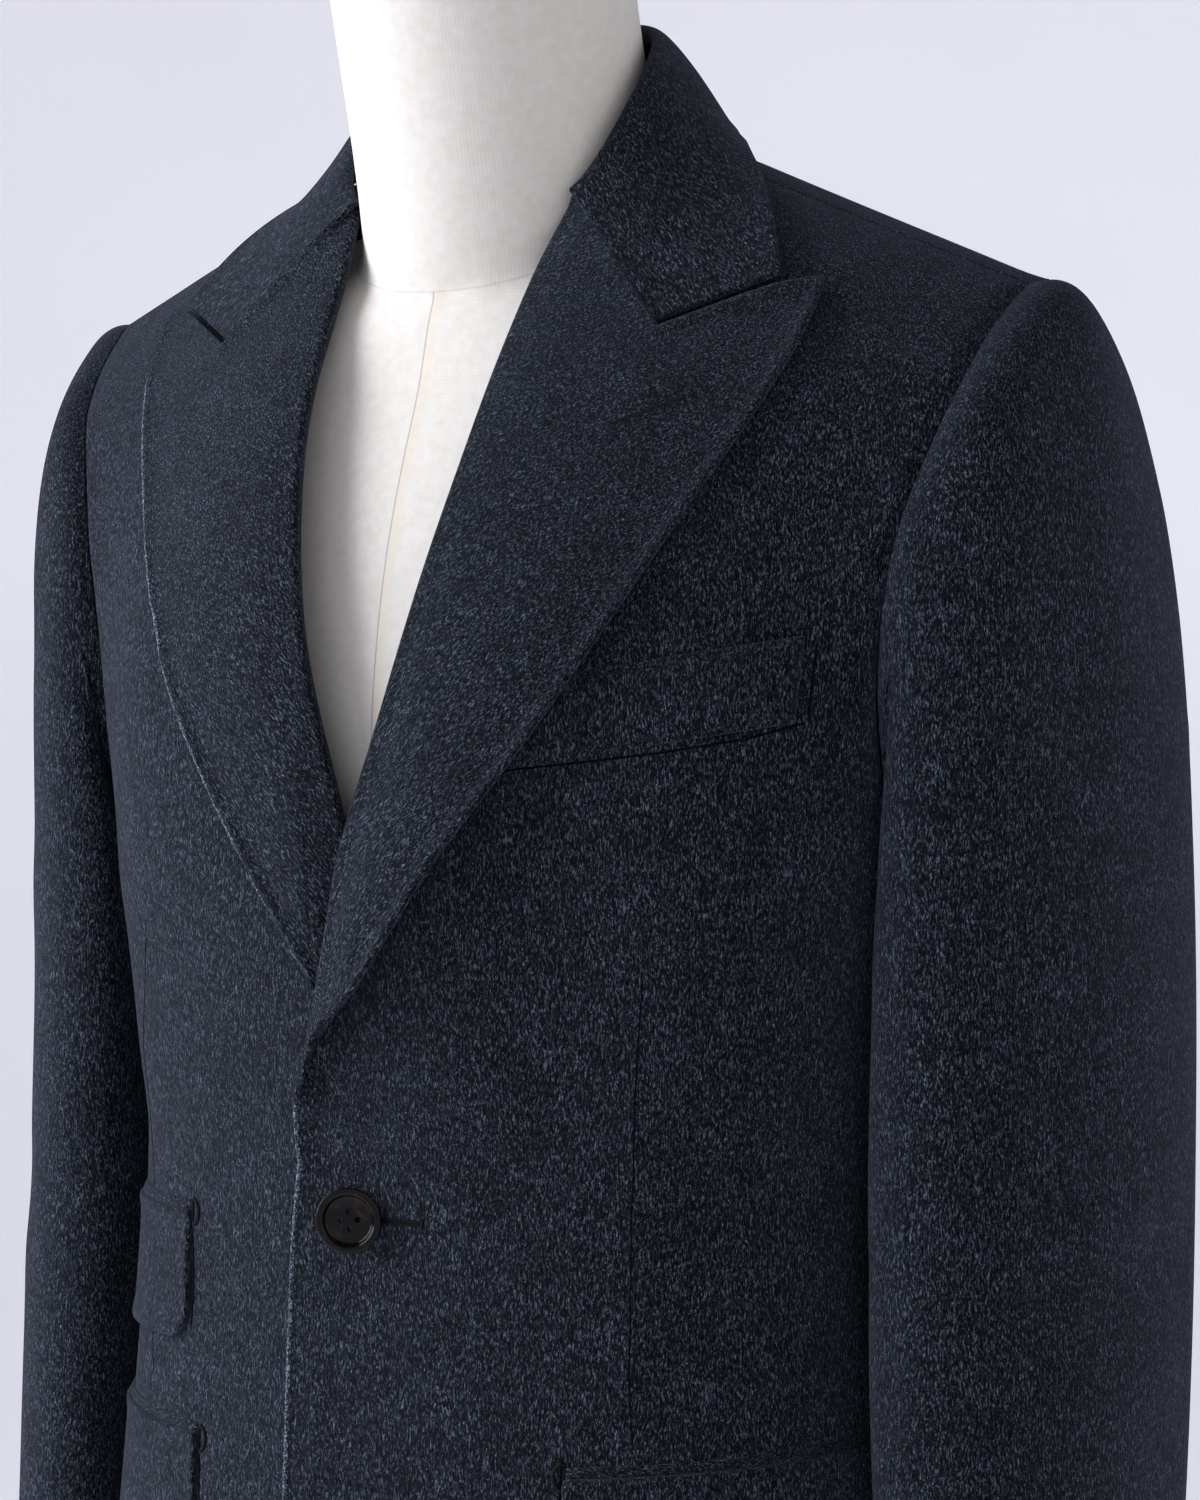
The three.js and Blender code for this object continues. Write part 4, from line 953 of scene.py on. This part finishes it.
def turned_button(number):
    """A turned button: a rounded rim round a dished well, drilled with four holes set in a diamond."""
    node = f"button_{number}"
    low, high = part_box(node)
    middle, radius, thick = (low + high) / 2, (high.x - low.x) / 2, high.y - low.y
    button = cylinder(middle, BUTTON_WIDER * radius, thick, 72)
    button.name = f"horn_button_{number}"
    bpy.ops.object.transform_apply(location=True, rotation=True, scale=True)
    edit_faces(button, lambda face: face.normal.y > 0.9)
    bpy.ops.transform.resize(value=(BUTTON_BACK, 1, BUTTON_BACK), center_override=middle)
    edit_faces(button, lambda face: face.normal.y < -0.9)
    for inset, sink in BUTTON_FACE:
        bpy.ops.mesh.inset(thickness=inset * radius)
        bpy.ops.transform.translate(value=(0, sink * thick, 0))
    bpy.ops.object.mode_set(mode="OBJECT")
    rounded = {"width": 0.7 * MM, "segments": 4, "limit_method": "ANGLE", "angle_limit": math.radians(15)}
    apply_modifier(button, "BEVEL", **rounded)
    for angle in HOLE_ANGLES:
        way = Vector((math.cos(math.radians(angle)), 0, math.sin(math.radians(angle))))
        drill = cylinder(middle + way * HOLE_REACH, HOLE_RADIUS, 3 * thick, 24)
        apply_modifier(button, "BOOLEAN", object=drill, operation="DIFFERENCE", solver="EXACT")
        bpy.data.objects.remove(drill)
    # It tips on its shank towards the wearer's left, as the cloth under it does.
    tip = math.radians(BUTTON_TIP[number])
    p = points_of(button)
    x, y = p[:, 0] - middle.x, p[:, 1] - middle.y
    p[:, 0] = middle.x + x * math.cos(tip) - y * math.sin(tip)
    p[:, 1] = middle.y + x * math.sin(tip) + y * math.cos(tip)
    stand = keel(np.array(middle)) + SHANK_SLACK
    p[:, 0] += DRAWN_LEFT * stand
    p[:, 1] -= stand
    move_points(button, p)
    finish_piece(button, HORN, "horn", node, angle=35)


BUTTONS = (1, 2, 3)
for number in BUTTONS:
    turned_button(number)


# ------------------------ stitching
BEFORE_ALL = -1.0  # metres: in front of everything
CHEST_Y = -140 * MM


class Surface:
    """Finds places on the front of a finished piece from x and z, in millimetres."""

    def __init__(self, piece):
        graph = bpy.context.evaluated_depsgraph_get()
        self.tree = BVHTree.FromObject(piece, graph)

    def at(self, x, z, above=0.0):
        """The place seen from the front, raised above the cloth, and its normal."""
        place, normal, _, _ = self.tree.ray_cast(Vector((x * MM, BEFORE_ALL, z * MM)), Vector((0, 1, 0)))
        if place is None:  # just past the piece's edge: the nearest place on it
            place, normal, _, _ = self.tree.find_nearest(Vector((x * MM, CHEST_Y, z * MM)))
        return place + normal * above * MM, normal


def satin_cord(name, surface, paths, width, height, above=0.0, closed=False, stitch=0.8, material=None):
    """Cords of close satin stitches laid on the cloth along paths of (x, z), in millimetres."""
    bm = bmesh.new()
    for path in paths:
        lay_cord(bm, surface, path, width, height, above, closed, stitch)
    finish_piece(object_of(bm, name), material or BLACK_TWIST, "melton")


RING = 8  # points round a cord
RINGS = 4  # to a stitch
STITCH_SWELL = 0.16  # how much thicker a stitch is in its middle


def lay_cord(bm, surface, path, width, height, above, closed, stitch):
    """Adds one cord to a mesh, in rings, and thin at its open ends."""
    loop = path + path[:1] if closed else path
    places = []
    for (xa, za), (xb, zb) in zip(loop, loop[1:]):
        count = max(1, round(math.dist((xa, za), (xb, zb)) / (stitch / RINGS)))
        places += [(xa + (xb - xa) * i / count, za + (zb - za) * i / count) for i in range(count)]
    if not closed:
        places.append(path[-1])
    rings = []
    total = len(places)
    for i, (x, z) in enumerate(places):
        centre, normal = surface.at(x, z, above)
        before = surface.at(*places[i - 1 if i or closed else 0])[0]
        after = surface.at(*places[(i + 1) % total if closed else min(i + 1, total - 1)])[0]
        along = (after - before).normalized()
        across = normal.cross(along).normalized()
        full = 1 + STITCH_SWELL * math.cos(math.tau * i / RINGS)
        if not closed:
            full *= min(1.0, (0.3 + min(i, total - 1 - i)) / 3)
        ring = []
        for k in range(RING):
            angle = math.tau * k / RING
            side = across * math.cos(angle) * width / 2 * full
            up = normal * math.sin(angle) * height / 2 * full
            ring.append(bm.verts.new(centre + (side + up) * MM))
        rings.append(ring)
    if closed:
        rings.append(rings[0])
    for first, second in zip(rings, rings[1:]):
        for k in range(RING):
            after = (k + 1) % RING
            bm.faces.new((first[k], first[after], second[after], second[k]))
    if not closed:
        bm.faces.new(rings[0])
        bm.faces.new(rings[-1])


LOOP = 28  # points round a buttonhole
BLUNT = 0.35  # 1 would make it an ellipse, and 0 a box


def oval(x, z, length, height, lean=0.0):
    """A long closed loop round (x, z), leaning by an angle in degrees."""
    cos, sin = math.cos(math.radians(lean)), math.sin(math.radians(lean))
    points = []
    for i in range(LOOP):
        angle = math.tau * i / LOOP
        a = math.copysign(abs(math.cos(angle)) ** BLUNT, math.cos(angle)) * length / 2
        b = math.sin(angle) * height / 2
        points.append((x + a * cos - b * sin, z + a * sin + b * cos))
    return points


FRONT_LEFT, FRONT_RIGHT = Surface(COAT["front_left"]), Surface(COAT["front_right"])
LAPEL, WELT = Surface(COAT["lapel_left"]), Surface(COAT["breast_welt_left"])
BAR_X = 32.4  # the bar at a buttonhole's inner end
for number in BUTTONS:
    low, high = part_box(f"button_{number}")
    z = (low.z + high.z) / 2 / MM
    hole, bar = oval(16.5, z, 30, 1.5), [(BAR_X, z - 2.4), (BAR_X, z + 2.4)]
    satin_cord(f"buttonhole_{number}", FRONT_LEFT, [hole], 1.3, 0.9, 0.1, closed=True)
    satin_cord(f"buttonhole_bar_{number}", FRONT_LEFT, [bar], 1.5, 1.1, 0.2)
hole, bar = oval(108.5, 1384.5, 25, 0.7, 22), [(96.2, 1381.0), (97.4, 1377.6)]
satin_cord("lapel_buttonhole", LAPEL, [hole], 0.7, 0.6, closed=True, material=GREY_TWIST)
satin_cord("lapel_buttonhole_bar", LAPEL, [bar], 0.9, 0.7, 0.1, material=GREY_TWIST)


def d_tack(name, surface, x, z, side):
    """A D-shaped tack at the front end of a pocket mouth: a bow of twist, closed by a straight bar."""
    bow = [(x + side * 4.2 * math.cos(a), z + 5.0 * math.sin(a)) for a in np.linspace(-1.45, 1.45, 14)]
    satin_cord(name + "_bow", surface, [bow], 1.6, 1.5, 0.3, material=GREY_TWIST)
    satin_cord(name + "_bar", surface, [[(x, z - 5.2), (x, z + 5.2)]], 1.2, 1.1, 0.2, material=BLACK_TWIST)


d_tack("hip_left_tack", FRONT_LEFT, 88.6, 990.5, -1)
d_tack("ticket_right_tack", FRONT_RIGHT, -92.6, 1071.3, 1)
d_tack("hip_right_tack", FRONT_RIGHT, -84.6, 982.5, 1)
bar_tacks = [[(x, 1304.4), (x + 3.6, 1305.0)] for x in (159.5, 164.0)]
satin_cord("welt_bar_tacks", FRONT_LEFT, bar_tacks, 1.0, 0.9, 0.15)
picks = []
for share in np.arange(16) / 15:  # up the welt's end
    x, z = 165.6 + 2.2 * share, 1274 + 27 * share
    picks.append([(x - 0.9, z), (x - 0.1, z + 0.3)])
satin_cord("welt_pick_stitches", WELT, picks, 0.55, 0.5)

# Painted shade: narrow, nearly black cords laid along the darts, the welt's seams and the flaps' edges,
# where folds of the cloth meet and shade falls.
PAINTED_SHADE_CORD = {"stitch": 4.0, "material": PAINTED_SEAM_SHADE}
for side, surface, sign in (("left", FRONT_LEFT, 1), ("right", FRONT_RIGHT, -1)):
    line = [(sign * x, z) for x, z in DARTS[side]]
    satin_cord("dart_painted_shade_" + side, surface, [line], 0.6, 0.3, **PAINTED_SHADE_CORD)
PAINTED_SHADE_LINES = {
    "welt_seam_painted_shade": (FRONT_LEFT, [(62, 1251.6), (98, 1256.0), (124, 1259.6), (150, 1264.6), (167, 1270.6)]),
    "welt_end_painted_shade": (FRONT_LEFT, [(167.6, 1271.4), (170.2, 1300.6)]),
    "hip_left_flap_shade": (FRONT_LEFT, [(87.6, 997), (86.4, 960), (86.8, 940)]),
    "hip_right_flap_shade": (FRONT_RIGHT, [(-84.6, 977), (-83.4, 946), (-84.2, 930)]),
    "ticket_right_flap_shade": (FRONT_RIGHT, [(-92.8, 1064), (-92.2, 1040), (-93.0, 1024)]),
}
for name, (surface, line) in PAINTED_SHADE_LINES.items():
    satin_cord(name, surface, [line], 0.9, 0.4, **PAINTED_SHADE_CORD)


EDGE_STEP = 12.0  # millimetres up an edge


def edge_path(piece, side, low, high, inside):
    """Places (x, z) in millimetres a little inside a piece's edge on the wearer's left (1) or right (-1)."""
    points = points_of(piece) / MM
    path = []
    for z in np.arange(low, high, EDGE_STEP):
        level = points[np.abs(points[:, 2] - z) < EDGE_STEP / 4, 0] * side
        if len(level):
            path.append((float(level.max() - inside) * side, float(z)))
    return path


# Painted highlight: the open edges on the wearer's right side of a piece are rolled a little by a raised
# cord of lighter melton, where the light catches them.
PAINTED_HIGHLIGHT_EDGES = {
    "front_edge_painted_highlight": ("front_left", 512, 1130, 1.5),
    "lapel_edge_painted_highlight": ("lapel_right", 1178, 1416, 1.2),
}
for name, (owner, bottom, top, inside) in PAINTED_HIGHLIGHT_EDGES.items():
    line = edge_path(COAT[owner], -1, bottom, top, inside)
    satin_cord(name, Surface(COAT[owner]), [line], 2.0, 1.2, -0.1, stitch=4.0, material=PAINTED_EDGE_HIGHLIGHT)

# ------------------------ studio
bm = bmesh.new()
FLOOR_RADIUS, COVE_RADIUS, COVE_HEIGHT = 7.0, 1.5, 5.5
flat_radius = FLOOR_RADIUS - COVE_RADIUS
profile = [(0.0, 0.0), (flat_radius, 0.0)]
for angle in np.radians(range(10, 91, 10)):
    rise = COVE_RADIUS - COVE_RADIUS * math.cos(angle)
    profile.append((flat_radius + COVE_RADIUS * math.sin(angle), rise))
profile.append((FLOOR_RADIUS, COVE_HEIGHT))
verts = [bm.verts.new((r, 0, z)) for r, z in profile]
edges = [bm.edges.new(pair) for pair in zip(verts, verts[1:])]
bmesh.ops.spin(bm, geom=verts + edges, cent=(0, 0, 0), axis=(0, 0, 1), angle=math.tau, steps=96)
bmesh.ops.remove_doubles(bm, verts=bm.verts, dist=1e-5)
cove = object_of(bm, "cove")
cove.data.materials.append(PAPER)
only(cove)
bpy.ops.object.shade_smooth()
cove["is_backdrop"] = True

world = bpy.data.worlds.new("studio_air")
world.use_nodes = True
world.node_tree.nodes["Background"].inputs["Color"].default_value = linear("#e9ecf5")
world.node_tree.nodes["Background"].inputs["Strength"].default_value = 0.2
bpy.context.scene.world = world

# ------------------------ camera and lights
top_button_low, top_button_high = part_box("button_1")
AIM = (top_button_low + top_button_high) / 2 + Vector((10.8, 154.97, 171.0)) * MM
AZIMUTH, ELEVATION, DISTANCE = math.radians(33.5), math.radians(2.9), 1.48
LEVEL = math.cos(ELEVATION)
BACK = Vector((math.sin(AZIMUTH) * LEVEL, -math.cos(AZIMUTH) * LEVEL, math.sin(ELEVATION)))
RIGHT = Vector((math.cos(AZIMUTH), math.sin(AZIMUTH), 0))

camera = new_object("camera", bpy.data.cameras.new("camera"))
camera.data.sensor_width = 36.0
camera.data.lens = 86.4
camera.rotation_mode = "QUATERNION"
camera.location = AIM + BACK * DISTANCE
camera.rotation_quaternion = (-BACK).to_track_quat("-Z", "Y")
bpy.context.scene.camera = camera


def softbox(name, place, size, watts, colour):
    """A soft area light that faces the middle of the chest."""
    light = bpy.data.lights.new(name, "AREA")
    light.shape = "RECTANGLE"
    light.size, light.size_y = size
    light.energy = watts
    light.color = linear(colour)[:3]
    lamp = new_object(name, light)
    lamp.location = place
    lamp.rotation_mode = "QUATERNION"
    lamp.rotation_quaternion = (place - AIM).to_track_quat("Z", "Y")


softbox("window", AIM - RIGHT * 2.4 + BACK * 0.05 + Vector((0, 0, 0.8)), (1.5, 2.2), 112, "#f4f6ff")
softbox("fill", AIM + RIGHT * 1.6 + BACK * 2.2 + Vector((0, 0, 1.0)), (2.2, 2.2), 7, "#fff6ee")
bpy.context.scene.view_settings.view_transform = "Standard"

low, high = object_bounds()
